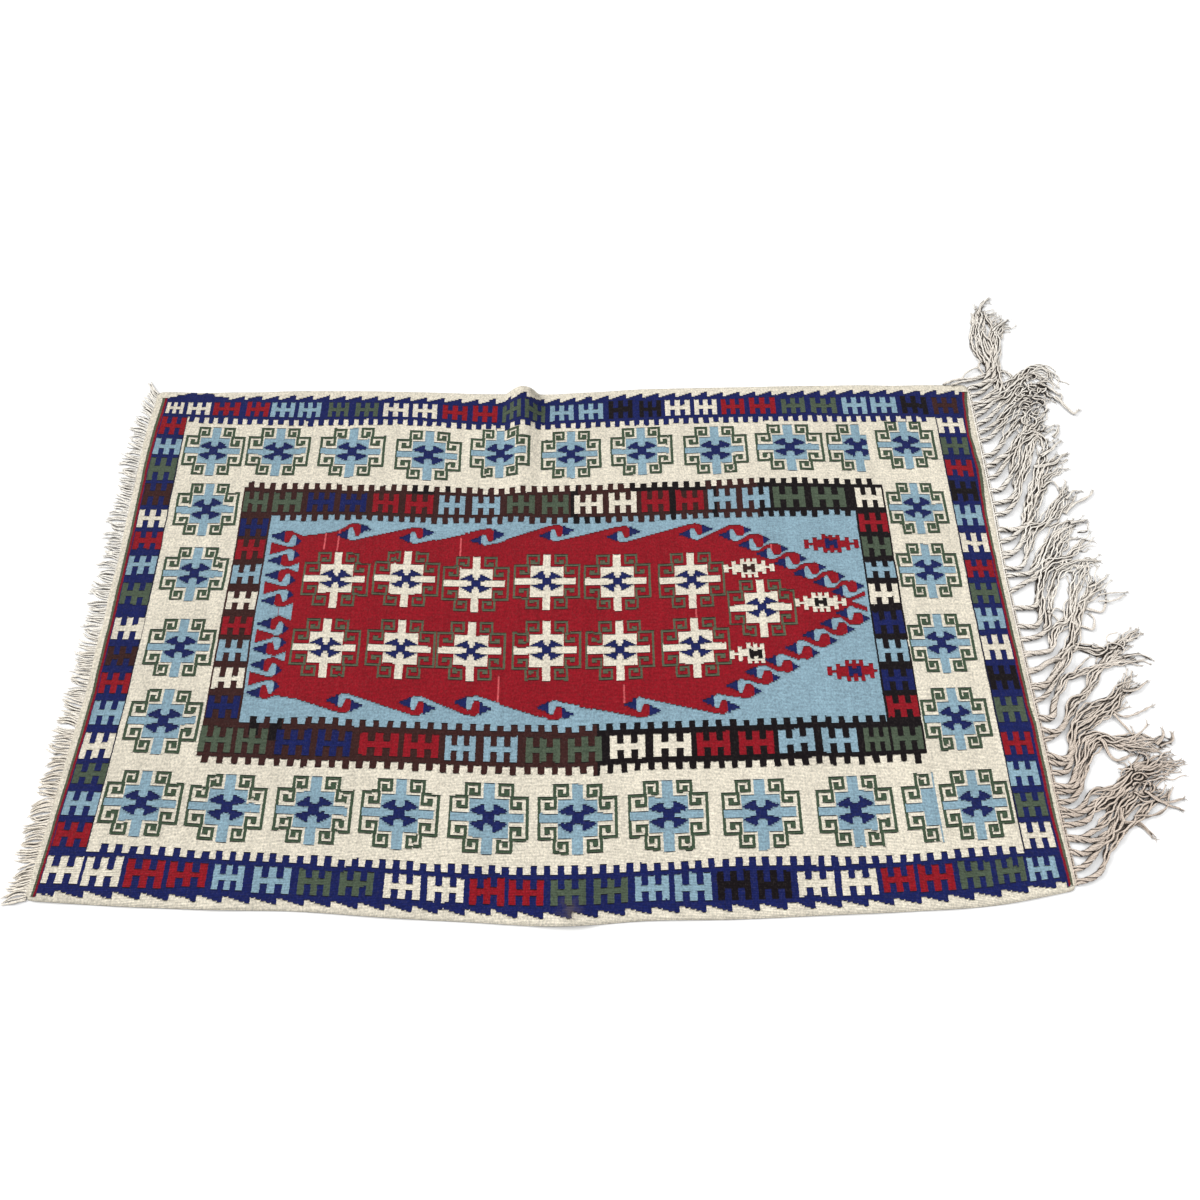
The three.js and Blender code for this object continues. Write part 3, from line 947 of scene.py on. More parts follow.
# Cloth: a closed sheet of two layers, with a face for every three warps and twelve picks
CLOTH_THICK = 3.0
# How far the corners are drawn in, and over what length
CORNER_ROUND, CORNER_REACH = 4.5, 14
# How much nearer together the two layers lie at the rim
RIM_INSET = 0.9
# The last stretch of the cloth that the fuller end pulls out
END_EASE = 12
# Folds that rise from an edge, as in the solid: their crest, height, flanks and reach inwards,
# how they fall and round off, and the creases on them: how far from the crest, height, half
# width, and drift inwards
FOLDS = [
    dict(edge="far_edge", crest=-87, height=27, left=44, right=36, reach=330, fall=1.15, power=2.5, round=1.5,
         sharp=[(-6, 3.0, 9, 0.0), (27, -5.5, 8, -0.07)]),
    dict(edge="near_edge", crest=12, height=7, left=75, right=60, reach=120, fall=1.4, power=2.0, round=1.7,
         sharp=[]),
]
SHARP_ROUND = 1.5


def fold_lift(x, y):
    """How high the cloth is lifted by the folds."""
    lift = np.zeros_like(x)
    for fold in FOLDS:
        inward = np.abs(long_line(fold["edge"], x) - y)
        flank = np.where(x < fold["crest"], fold["left"], fold["right"])
        across = np.minimum(np.abs(x - fold["crest"]) / flank, 1)
        fall = np.maximum(1 - inward / fold["reach"], 0) ** fold["fall"]
        lift += fold["height"] * fall * (1 - across ** fold["power"]) ** fold["round"]
        for off, height, half, drift in fold["sharp"]:
            away = x - fold["crest"] - off - drift * inward
            lift += height * fall * np.exp(-np.abs(away / half) ** SHARP_ROUND)
    return np.maximum(lift, 0)


# Long soft waves that the cloth keeps from being folded away: crest or trough line from one
# place to another, height in millimetres, half width
CREASES = [
    ((-392, -560), (-386, 530), 1.0, 26),
    ((-905, -14), (890, -20), 0.9, 30),
    ((12, -470), (20, -140), 1.6, 40),
    ((-91, 240), (-60, -60), 1.8, 36),
    ((420, -560), (405, 530), 0.7, 30),
    ((-905, 260), (890, 250), 0.6, 34),
    ((-905, -300), (890, -296), 0.6, 34),
]
# How far a crease strays from its line, and over what length
CREASE_STRAY, CREASE_TURN = 7, 83
# The length over which it dies away at each end, and how its height varies along it
CREASE_END = 60
CREASE_MEAN, CREASE_VARIES, CREASE_WAVE = 0.65, 0.35, 61
# Waves of slack cloth at the long edges and at the ends: how far in they reach, their length, and
# how much and over what length they shift
SLACK_HEIGHT = 1.3
EDGE_SLACK = dict(reach=28, wave=31, shift=2.1, over=117)
END_SLACK = dict(reach=22, wave=27, shift=1.7, over=90)
# Low waves all over the cloth: their height, and their lengths and shifts along and across it
ALL_OVER = 0.45
OVER_ALONG = dict(wave=47, shift=1.3, over=71)
OVER_ACROSS = dict(wave=39, shift=1.1, over=93)
END_FULLER = 6.0
# Where across the cloth the fuller end begins, and the length over which it grows full
FULLER_FROM, FULLER_OVER = 60, 160


def shifting_wave(at, wave, shift, other, over):
    return np.sin(at / wave + shift * np.sin(other / over))


def slack(low_side, high_side, at, reach, wave, shift, over):
    """Waves at two opposite sides, from how far away each side is and the place along them."""
    near = np.exp(-low_side / reach) + np.exp(-high_side / reach)
    return SLACK_HEIGHT * near * (0.5 + 0.5 * shifting_wave(at, wave, shift, at, over))


def ripple(x, y, u, v):
    """Low, uneven waves of the cloth: creases, slack at the edges and pulls beside the bands."""
    lift = np.zeros_like(x)
    for (ax, ay), (bx, by), height, half in CREASES:
        length = math.hypot(bx - ax, by - ay)
        ex, ey = (bx - ax) / length, (by - ay) / length
        run = (x - ax) * ex + (y - ay) * ey
        off = -(x - ax) * ey + (y - ay) * ex + CREASE_STRAY * np.sin(run / CREASE_TURN + ax)
        ends = np.clip(run / CREASE_END, 0, 1) * np.clip((length - run) / CREASE_END, 0, 1)
        varied = CREASE_MEAN + CREASE_VARIES * np.sin(run / CREASE_WAVE + by)
        lift += height * varied * ends * np.exp(-(off / half) ** 2)
    lift += slack(v - NEAR, FAR - v, u, **EDGE_SLACK)
    lift += slack(u - LEFT, RIGHT - u, v, **END_SLACK)
    crossed = shifting_wave(x, other=y, **OVER_ALONG) * shifting_wave(y, other=x, **OVER_ACROSS)
    return lift + ALL_OVER * (crossed + 1)


def corner_inset(u, v):
    """Draws the corners in a little, as a place along and across."""
    along_end = np.minimum(u - LEFT, RIGHT - u)
    along_edge = np.minimum(v - NEAR, FAR - v)
    near = np.clip(1 - np.hypot(along_end, along_edge) / CORNER_REACH, 0, 1) ** 2 * CORNER_ROUND
    return near * np.sign((LEFT + RIGHT) / 2 - u), near * np.sign((NEAR + FAR) / 2 - v)


def grid_faces(first, reverse=False):
    """Faces of a grid of points, a row for each place across the cloth."""
    wide = FACES_LONG + 1
    i, j = np.meshgrid(np.arange(FACES_LONG), np.arange(FACES_WIDE))
    a = (first + j * wide + i).ravel()
    corners = [a, a + 1, a + 1 + wide, a + wide]
    return np.stack(corners[::-1] if reverse else corners, 1)


def rim_faces(top, under):
    """Faces that close the sheet along its four sides."""
    wide, high = FACES_LONG + 1, FACES_WIDE + 1
    ring = np.concatenate([
        np.arange(wide),
        np.arange(1, high) * wide + wide - 1,
        (high - 1) * wide + np.arange(wide - 2, -1, -1),
        np.arange(high - 2, 0, -1) * wide,
    ])
    after = np.roll(ring, -1)
    return np.stack([ring + under, after + under, after + top, ring + top], 1)


# The place of a rim face in a face's own square, and where the layers and the rim lie in the OFBake map: low
# corner and size of the layers, and both corners of the rim
RIM_CELL = (0.5, 0.98)
TOP_PART = ((0.01, 0.39), (0.98, 0.6))
UNDER_PART = ((0.01, 0.03), (0.98, 0.34))
RIM_PART = ((0.01, 0.005), (0.99, 0.02))


def cloth_maps(rim_count):
    """Each face's own square, and its place in the OFBake map."""
    unit = np.array([(0, 0), (1, 0), (1, 1), (0, 1)], float)
    faces = FACES_LONG * FACES_WIDE
    cell = np.concatenate([np.tile(unit, (faces, 1)), np.tile(unit[::-1], (faces, 1)),
                           np.tile([RIM_CELL], (4 * rim_count, 1))])
    i, j = (a.ravel() for a in np.meshgrid(np.arange(FACES_LONG), np.arange(FACES_WIDE)))
    shares = np.stack([np.stack([(i + a) / FACES_LONG, (j + b) / FACES_WIDE], 1) for a, b in unit], 1)
    top = shares * TOP_PART[1] + TOP_PART[0]
    under = shares[:, ::-1] * UNDER_PART[1] + UNDER_PART[0]
    (x0, y0), (x1, y1) = RIM_PART
    place = np.linspace(x0, x1, rim_count + 1)
    corners = ((place[:-1], y0), (place[1:], y0), (place[1:], y1), (place[:-1], y1))
    rim = np.stack([np.stack([x, np.full(rim_count, y)], 1) for x, y in corners], 1)
    return {"cell": cell, "OFBake": np.concatenate([part.reshape(-1, 2) for part in (top, under, rim)])}


def fuller_end(y):
    """How far the right end stands out past the measured line, where the far bundles pull at it."""
    return END_FULLER * np.clip((np.asarray(y, float) - FULLER_FROM) / FULLER_OVER, 0, 1)


def make_cloth():
    """Both layers and the rim between them, with the pattern on both sides."""
    u, v = np.meshgrid(np.linspace(LEFT, RIGHT, FACES_LONG + 1), np.linspace(NEAR, FAR, FACES_WIDE + 1))
    x, y = on_cloth(u, v)
    z = (fold_lift(x, y) + ripple(x, y, u, v)).ravel()
    du, dv = corner_inset(u, v)
    x = x + fuller_end(y) * np.clip((u - RIGHT + END_EASE) / END_EASE, 0, 1)
    x, y = (x + du).ravel(), (y + dv).ravel()
    rim = (u == LEFT) | (u == RIGHT) | (v == NEAR) | (v == FAR)
    inset = np.where(rim, RIM_INSET, 0.0).ravel()
    top = np.stack([x, y, z + CLOTH_THICK - inset], 1)
    under = np.stack([x, y, z + inset], 1)
    count = len(x)
    rim_quads = rim_faces(0, count)
    faces = np.concatenate([grid_faces(0), grid_faces(count, reverse=True), rim_quads])
    cloth = mesh_piece("woven_cloth", np.concatenate([top, under]), faces, cloth_maps(len(rim_quads)))
    dress_cloth(cloth, len(rim_quads))
    return cloth


# The chart's colours for each face: the first colour of each of its warps, and up to three turns
# to another one, each with its place along the face
TURNS = (1, 2, 3)
# The place of a turn that a warp doesn't have, past the face's end
NO_TURN = 2.0


def face_codes():
    codes = chart.reshape(FACES_WIDE, WARPS, FACES_LONG, PICKS).transpose(0, 2, 1, 3)
    codes = codes.reshape(-1, WARPS, PICKS).astype(int)
    changes = codes[:, :, 1:] != codes[:, :, :-1]
    order = np.cumsum(changes, 2)
    values = {"first": codes[:, :, 0]}
    for k in TURNS:
        hit = changes & (order == k)
        found = hit.any(2)
        at = hit.argmax(2)
        step = np.take_along_axis(codes, (at + 1)[:, :, None], 2)[:, :, 0]
        step = step - np.take_along_axis(codes, at[:, :, None], 2)[:, :, 0]
        values[f"turn_{k}"] = np.where(found, (at + 1) / PICKS, NO_TURN)
        values[f"step_{k}"] = np.where(found, step, 0)
    return values


def slit_strength():
    """How much of a face's length each warp is parted from the next one by a change of colour."""
    differs = np.zeros(chart.shape, float)
    differs[:-1] = chart[:-1] != chart[1:]
    share = differs.reshape(FACES_WIDE, WARPS, FACES_LONG, PICKS).mean(3).transpose(0, 2, 1)
    return share.reshape(-1, WARPS)


# Woven wool: the yarn's colours, by their usual names and 0 to 255 values
WOOL = {
    "ivory": (229, 221, 203), "royal": (20, 30, 88), "red": (143, 17, 31), "sky": (139, 169, 184),
    "olive": (77, 90, 73), "green": (66, 84, 65), "moss": (88, 96, 76), "brown": (58, 30, 28),
    "black": (17, 10, 14), "navy": (23, 33, 88), "pink": (206, 88, 92), "crimson": (134, 16, 36),
    "ink": (17, 21, 50),
}
# Other colours: pale fuzz on the wool, soil on the selvedges, and the near-black painted shade deep in a slit
FUZZ = (205, 190, 180)
SOIL = (96, 88, 80)
SLIT_SHADE = (16, 12, 14)
# Shares of a warp's width where the groove between warps starts, and where a slit starts and
# is full, and what the groove leaves of the light
GROOVE, GROOVE_SHADE = 0.70, 0.55
SLIT, SLIT_FULL = 0.34, 0.46
SHOWN_PICKS = PICKS / 2
# Soiled places on the near and far selvedge: x, y, across, and strength, in metres
SOILED = [(0.016, -0.560, 0.030, 0.55), (-0.062, 0.512, 0.020, 0.60)]
# The share of a soiled place that is soiled fully
SOILED_CORE = 0.2
# Unevenness of the wool. First a noise: turns a metre, detail, roughness, and its squeeze along
# each axis. Then the part of its range that is used, and the range that this is turned into.
WOVEN_NOISES = {
    "lengths": ((95.0, 3.0, 0.6, (1.0, 0.12, 1.0)), (0.25, 0.75, 0.90, 1.10)),
    "patches": ((9.0, 3.0, 0.55), (0.3, 0.7, -0.05, 0.05)),
    "fibres": ((330.0, 2.0, 0.6, (0.16, 1.0, 1.0)), (0.3, 0.7, 0.88, 1.10)),
    "grain": ((270.0, 2.0, 0.7, (1.0, 0.8, 1.0)), (0.33, 0.62, 0.70, 1.12)),
    "fuzz": ((340.0, 2.0, 0.7, (1.0, 0.6, 1.0)), (0.50, 0.72, 0.0, 0.028)),
    "soil": ((60.0, 3.0, 0.6), (0.35, 0.6)),
    "gaping": ((55.0, 2.0, 0.5, (1.0, 2.0, 1.0)), (0.30, 0.52, 0.62, 1.0)),
}
# The relief: height of the picks and of a fine noise over the ribs, and the bump's depth and strength
PICK_RELIEF, FINE_RELIEF = 0.28, 0.9
FINE_NOISE = (350.0, 3.0, 0.6)
WOVEN_BUMP = (0.0006, 0.9)
WOVEN_SURFACE = {"Roughness": 0.93, "Specular IOR Level": 0.08, "Sheen Weight": 0.03, "Sheen Roughness": 0.6}


def palette(graph, index):
    """One colour for each whole number of the chart."""
    node = graph.tree.nodes.new("ShaderNodeValToRGB")
    ramp = node.color_ramp
    ramp.interpolation = "CONSTANT"
    for i, name in enumerate(COLOURS):
        stop = ramp.elements[i] if i < 2 else ramp.elements.new(i / len(COLOURS))
        stop.position = i / len(COLOURS)
        stop.color = linear(*WOOL[name])
    graph.feed(node.inputs[0], graph.math("DIVIDE", graph.math("ADD", index, 0.5), float(len(COLOURS))))
    return node.outputs[0]


def colour_number(g, s, mask):
    """The number of a warp's colour at the share s of its face's length."""
    index = g.vector("DOT_PRODUCT", mask, g.values("first"))
    for k in TURNS:
        passed = g.math("GREATER_THAN", s, g.vector("DOT_PRODUCT", mask, g.values(f"turn_{k}")))
        step = g.vector("DOT_PRODUCT", mask, g.values(f"step_{k}"))
        index = g.math("MULTIPLY_ADD", passed, step, index)
    return index


def uneven_wool(g, colour, noises):
    """Dye that varies from one length of weft to the next, and wool that varies within it."""
    shade = g.plus(noises["lengths"], noises["patches"])
    shade = g.times(g.times(shade, noises["fibres"]), noises["grain"])
    return g.mix(noises["fuzz"], g.shaded(colour, shade), linear(*FUZZ))


def soiled_wool(g, colour, place, rough):
    """Soil on the selvedges."""
    for x, y, across, strength in SOILED:
        dx, dy, _ = g.parts(g.vector("SUBTRACT", place, (x, y, 0.0)))
        far = g.math("SQRT", g.plus(g.times(dx, dx), g.times(dy, dy)))
        soil = g.stretch(g.math("DIVIDE", far, across), SOILED_CORE, 1.0, strength, 0.0, smooth=True)
        colour = g.mix(g.times(soil, rough), colour, linear(*SOIL))
    return colour


def woven_material():
    """Ribs of wool over the warps, in the chart's colours."""
    g = Graph("woven_wool")
    place = g.place()
    noises = {name: g.mottle(place, *values) for name, values in WOVEN_NOISES.items()}
    s, v, _ = g.parts(g.uv("cell"))
    warps = g.math("MINIMUM", g.times(v, float(WARPS)), WARPS - 0.001)
    warp = g.math("FLOOR", warps)
    rib = g.math("SUBTRACT", warps, warp)
    mask = g.joined(*(g.math("COMPARE", warp, float(k), 0.5) for k in range(WARPS)))
    colour = uneven_wool(g, palette(g, colour_number(g, s, mask)), noises)
    colour = soiled_wool(g, colour, place, noises["soil"])

    # Painted shade in the grooves between warps, and near-black painted shade in the slits where two colours
    # meet beside each other
    groove = g.stretch(g.math("ABSOLUTE", g.math("SUBTRACT", rib, 0.5)), GROOVE - 0.5, 0.5, 1.0, GROOVE_SHADE)
    parted = g.vector("DOT_PRODUCT", mask, g.values("slit"))
    slit = g.times(g.stretch(rib, SLIT, SLIT_FULL), g.times(parted, noises["gaping"]))
    colour = g.mix(slit, g.shaded(colour, groove), linear(*SLIT_SHADE))

    # Relief: round ribs over the warps, and picks that pass over every other warp
    ribs = g.math("SINE", g.times(rib, math.pi))
    turns = g.plus(g.times(s, SHOWN_PICKS), g.vector("DOT_PRODUCT", mask, g.values("phase")))
    picks = g.math("SINE", g.times(turns, TAU))
    height = g.plus(g.math("SUBTRACT", ribs, slit), g.times(g.times(picks, ribs), PICK_RELIEF))
    height = g.plus(height, g.times(g.noise(place, *FINE_NOISE), FINE_RELIEF))
    return g.finished(colour, height, *WOVEN_BUMP, WOVEN_SURFACE)


def dress_cloth(cloth, rim_count):
    """Gives the faces of both sides their stretch of the chart, and the rim plain ivory."""
    rim = np.zeros((rim_count, WARPS))
    codes = face_codes()
    rows_up = np.repeat(np.arange(FACES_WIDE), FACES_LONG)[:, None] * WARPS + np.arange(WARPS)
    codes["phase"] = (rows_up % 2) * 0.5
    codes["slit"] = slit_strength()
    for name, values in codes.items():
        past = rim + NO_TURN if name.startswith("turn") else rim
        face_values(cloth, name, np.concatenate([values, values, past]))
    cloth.data.materials.append(woven_material())


cloth = make_cloth()


# Yarn: many tubes in one mesh
SIDES = 6
# Places across a tube's top, as shares of its radius, which stand for its height among the others
CREST_PLACES = np.array([-0.8, 0.0, 0.8])
# How deep a point lies below the yarn round it: cell of the height map and how many cells it
# looks across, depth that counts as full, and steps between two stations of a tube
DEPTH_CELL = 1.0
DEPTH_REACH = 3
DEPTH_FULL = 3.2
DEPTH_BETWEEN = 8


def each(values):
    """A column, so that each yarn has its own value at all of its points."""
    return values[:, None]


def smooth_paths(controls, count):
    """A smooth curve of count points through each row of controls, as the solid's strands have."""
    padded = extended(controls)
    spans = controls.shape[1] - 1
    at = np.linspace(0, spans, count)
    i = np.minimum(at.astype(int), spans - 1)
    return curve(*(padded[:, i + k] for k in range(4)), (at - i)[None, :, None])


def lengths_along(paths):
    """How far along its path each point is."""
    steps = np.linalg.norm(np.diff(paths, axis=1), axis=2)
    return np.concatenate([np.zeros((len(paths), 1)), np.cumsum(steps, 1)], 1)


def directions(paths):
    """The way ahead at each point of the paths, and the level way to its right."""
    ahead = np.gradient(paths, axis=1)
    ahead /= np.linalg.norm(ahead, axis=2, keepdims=True) + 1e-9
    side = np.stack([ahead[..., 1], -ahead[..., 0], np.zeros(ahead.shape[:2])], 2)
    side /= np.linalg.norm(side, axis=2, keepdims=True) + 1e-9
    return ahead, side


def tubes(paths, radius, sides, tint):
    """Closed tubes round paths of equally many points, with their maps, a tint for each face, and
    places close together on their tops."""
    count, steps, _ = paths.shape
    ahead, side = directions(paths)
    upward = np.cross(side, ahead)
    angle = TAU * np.arange(sides) / sides
    around = (np.cos(angle)[:, None] * side[:, :, None] + np.sin(angle)[:, None] * upward[:, :, None])
    points = paths[:, :, None] + radius[:, :, None, None] * around
    a, b, c = np.meshgrid(np.arange(count), np.arange(steps - 1), np.arange(sides), indexing="ij")
    here = (a * steps + b) * sides
    after = (c + 1) % sides
    wall = np.stack([here + c, here + sides + c, here + sides + after, here + after], 3).reshape(-1, 4)
    length = lengths_along(paths) * MM
    near, far = length[a, b], length[a, b + 1]
    turn, next_turn = c / sides, (c + 1) / sides
    wall_map = np.stack([np.stack(pair, 3) for pair in
                         ((near, turn), (far, turn), (far, next_turn), (near, next_turn))], 3).reshape(-1, 2)
    start = np.arange(count)[:, None, None] * steps * sides
    quads = [np.array([0, k, k + 1, k + 2]) for k in range(1, sides - 2, 2)]
    ends = start + np.array(quads)[None]
    tips = start + (steps - 1) * sides + np.array(quads)[None, :, ::-1]
    caps = np.concatenate([ends, tips]).reshape(-1, 4)
    cap_map = np.zeros((4 * len(caps), 2))
    cap_tint = np.tile(np.repeat(tint, len(quads)), 2)
    faces = np.concatenate([wall, caps])
    tints = np.concatenate([np.repeat(tint, (steps - 1) * sides), cap_tint])
    share = (np.arange(DEPTH_BETWEEN) / DEPTH_BETWEEN)[:, None, None]
    over = CREST_PLACES[:, None] * side[:, :, None]
    over = over + np.sqrt(1 - CREST_PLACES ** 2)[:, None] * np.array([0.0, 0.0, 1.0])
    crests = paths[:, :, None] + radius[:, :, None, None] * over
    crests = crests[:, :-1, None] * (1 - share) + crests[:, 1:, None] * share
    return points.reshape(-1, 3), faces, np.concatenate([wall_map, cap_map]), tints, crests.reshape(-1, 3)


def depths(points, crests):
    """0 for a point on top of everything, up to 1 for one deep in a gap."""
    low = points[:, :2].min(0)
    size = np.ceil((points[:, :2].max(0) - low) / DEPTH_CELL).astype(int) + 2 * DEPTH_REACH + 2
    tops = np.zeros(tuple(size))
    cell = ((crests[:, :2] - low) / DEPTH_CELL).astype(int) + DEPTH_REACH
    np.maximum.at(tops, (cell[:, 0], cell[:, 1]), crests[:, 2])
    cell = ((points[:, :2] - low) / DEPTH_CELL).astype(int) + DEPTH_REACH
    looks = range(-DEPTH_REACH, DEPTH_REACH + 1)
    total = np.zeros(len(points))
    for dx in looks:
        for dy in looks:
            above = tops[cell[:, 0] + dx, cell[:, 1] + dy] - points[:, 2]
            total += np.clip(above / DEPTH_FULL, 0, 1)
    return total / len(looks) ** 2


def yarn_piece(name, groups, material):
    """One piece from groups of tubes."""
    points, faces, maps, tints, crests = zip(*groups)
    firsts = np.cumsum([0] + [len(part) for part in points[:-1]])
    faces = np.concatenate([part + first for part, first in zip(faces, firsts)])
    points, maps, tints, crests = (np.concatenate(parts) for parts in (points, maps, tints, crests))
    piece = mesh_piece(name, points, faces, {"yarn": maps})
    point_values(piece, "depth", depths(points, crests))
    face_values(piece, "tint", np.stack([tints, tints, tints], 1))
    piece.data.materials.append(material)
    return piece


# The yarns' colours: from the palest to the darkest yarn, and the painted shadow with a tanner tint towards
# the near corner, and what is left of the light between two plies
SHORT_WOOL = dict(pale=(249, 246, 238), dark=(236, 229, 217), worn=(248, 243, 236), ply_dark=0.80)
LONG_WOOL = dict(pale=(247, 242, 233), dark=(217, 208, 196), worn=(224, 214, 208), ply_dark=0.68)
# Turns of the two plies in a metre
PLY_TURNS = 110.0
# How much of the darker colour a yarn's own tint gives
TINT_SHARE = 0.55
# Painted shade, with some soil, low down between the yarns: the depth where it starts and where it is full,
# and its colour
SHADE_AND_SOIL_DEPTH = (0.06, 0.36)
SHADE_AND_SOIL_YARN = (44, 35, 28)
# Where across the cloth the painted shadow, a little tanner, starts and where it is full, in metres
SHADOW_ACROSS = (0.06, -0.34)
YARN_NOISES = {
    "patches": ((40.0, 3.0, 0.6), (0.3, 0.7, 0.0, 0.45)),
    "mottled": ((300.0, 2.0, 0.6), (0.36, 0.62, 0.80, 1.08)),
}
FIBRES, FIBRE_SHADE, FIBRE_RELIEF = (1400.0, 2.0, 0.6), (0.2, 0.8, 0.9, 1.1), 0.6
YARN_BUMP = (0.00025, 0.8)
YARN_SURFACE = {"Roughness": 0.92, "Specular IOR Level": 0.2, "Sheen Weight": 0.15}


def yarn_material(name, pale, dark, worn, ply_dark):
    """Two plies twisted round each other, a little different from yarn to yarn."""
    g = Graph(name)
    length, turn, _ = g.parts(g.uv("yarn"))
    tint, _, _ = g.parts(g.values("tint"))
    place = g.place()
    patches, mottled = (g.mottle(place, *YARN_NOISES[kind]) for kind in ("patches", "mottled"))
    share = g.math("ADD", g.times(tint, TINT_SHARE), patches, clamp=True)
    colour = g.mix(share, linear(*pale), linear(*dark))
    fibres = g.noise(place, *FIBRES)
    twist = g.math("SINE", g.times(g.plus(g.times(length, PLY_TURNS), turn), 2 * TAU))
    shade = g.times(g.stretch(twist, -1.0, -0.1, ply_dark, 1.0), g.stretch(fibres, *FIBRE_SHADE))
    colour = g.shaded(colour, g.times(shade, mottled))
    # Painted shadow, a little tanner, darkens the yarn towards the near corner
    _, across, _ = g.parts(place)
    colour = g.mix(g.stretch(across, *SHADOW_ACROSS), colour, linear(*worn), "MULTIPLY")
    # Painted shade, with some soil, darkens the yarn low down between the yarns
    colour = g.mix(g.stretch(g.values("depth", "Fac"), *SHADE_AND_SOIL_DEPTH), colour, linear(*SHADE_AND_SOIL_YARN))
    return g.finished(colour, g.plus(twist, g.times(fibres, FIBRE_RELIEF)), *YARN_BUMP, YARN_SURFACE)


# Short fringe: the warps' cut ends at the left
SHORT_YARNS = 3 * 124
SHORT_LENGTH = 40
SHORT_STEPS = 20
SHORT_RADIUS = 1.75
# How far a yarn starts inside the cloth's end
SHORT_ROOT = 2.0
# The way that the yarns lean, from the near corner to the far one
SHORT_LEAN = dict(near=-0.30, middle=0.15, far=1.0)
# Yarns in a lock, and how far their tips run together
SHORT_LOCK, LOCK_CLOSES = 5.0, 0.2
# How a lock differs from the next one, and a yarn from its lock
LOCK_VARIES = dict(lean=0.16, length=0.14, bend=0.95)
YARN_VARIES = dict(place=(-0.4, 0.4), lean=(-0.10, 0.10), length=(-0.16, 0.12), bend=(-0.25, 0.25),
                   radius=(0.75, 1.1))
# Waves of a yarn across its way: height, and turns in its length
SHORT_WAVE = dict(height=(0.2, 1.1), turns=(0.9, 1.7))
# How high the yarns lie, and how much higher the highest rises
SHORT_REST, SHORT_RISE = 1.6, 3.6
# How far above the floor every yarn stays
CLEAR = 0.05


def lean_at(q):
    """How the yarns lean at a share q of the way from the near corner to the far one."""
    near, middle, far = (SHORT_LEAN[place] for place in ("near", "middle", "far"))
    return near + (middle - near) * np.minimum(3 * q, 1) + (far - middle) * q ** 12


def short_fringe(material):
    """Neighbours lean and curl alike, and their tips run together in points."""
    count = SHORT_YARNS
    q = (np.arange(count) + 0.5 + uneven(count, *YARN_VARIES["place"])) / count
    near, far = (long_line(name, LONG_START) for name in ("near_edge", "far_edge"))
    y = near + (far - near) * q
    x = short_line("left_edge", y)
    lock = np.floor(np.cumsum(uneven(count, 0.0, 2.0 / SHORT_LOCK))).astype(int)
    of_lock = [values[lock] for values in uneven((3, count))]
    middle = np.array([y[lock == k].mean() if (lock == k).any() else 0.0 for k in range(lock[-1] + 1)])[lock]
    lean = lean_at(q) + LOCK_VARIES["lean"] * of_lock[0] + uneven(count, *YARN_VARIES["lean"])
    length = 1.0 + LOCK_VARIES["length"] * of_lock[1] + uneven(count, *YARN_VARIES["length"])
    length = SHORT_LENGTH * length
    bend = LOCK_VARIES["bend"] * of_lock[2] + uneven(count, *YARN_VARIES["bend"])
    s = np.linspace(0, 1, SHORT_STEPS)
    angle = each(lean) + each(bend) * (s - 0.4)
    run = np.cumsum(np.cos(angle), 1) - np.cos(angle[:, :1])
    rise = np.cumsum(np.sin(angle), 1) - np.sin(angle[:, :1])
    px = each(x) + SHORT_ROOT - each(length) / (SHORT_STEPS - 1) * run
    py = each(y) + each(length) / (SHORT_STEPS - 1) * rise
    py += LOCK_CLOSES * each(middle - y) * s ** 1.5
    height = each(uneven(count, *SHORT_WAVE["height"]))
    turns = TAU * s * each(uneven(count, *SHORT_WAVE["turns"])) + each(uneven(count, 0, TAU))
    py = py + height * np.sin(turns) * np.minimum(s * 3, 1)
    layer = each(uneven(count, 0.0, 1.0)) * SHORT_RISE
    height = SHORT_REST + layer * np.sin(math.pi * np.minimum(s * 1.15, 1)) * (1 - 0.2 * s)
    radius = SHORT_RADIUS * (1 - 0.6 * s ** 4) * each(uneven(count, *YARN_VARIES["radius"]))
    paths = np.stack([px, py, np.maximum(height, radius + CLEAR)], 2)
    return yarn_piece("short_fringe", [tubes(paths, radius, SIDES, uneven(count, 0, 1))], material)


# Long fringe: bundles of yarn at the right, knotted at the cloth and loose further out
YARN_RADIUS = 1.6
# How much a radius varies from yarn to yarn
RADIUS_VARIES = (0.85, 1.1)
# A bundle of this many yarns gets a larger share of them, and spreads wider
FULL_FROM, FULLER, WIDER = 5, 1.35, 2.0
LONG_STEPS, LOCK_STEPS, CENTRE_STEPS = 50, 20, 240
# The place across the cloth that parts the two pieces
FRINGE_SPLIT = 60.0
# How far inside the cloth's end a bundle starts
ROOT_INSIDE = 3.0
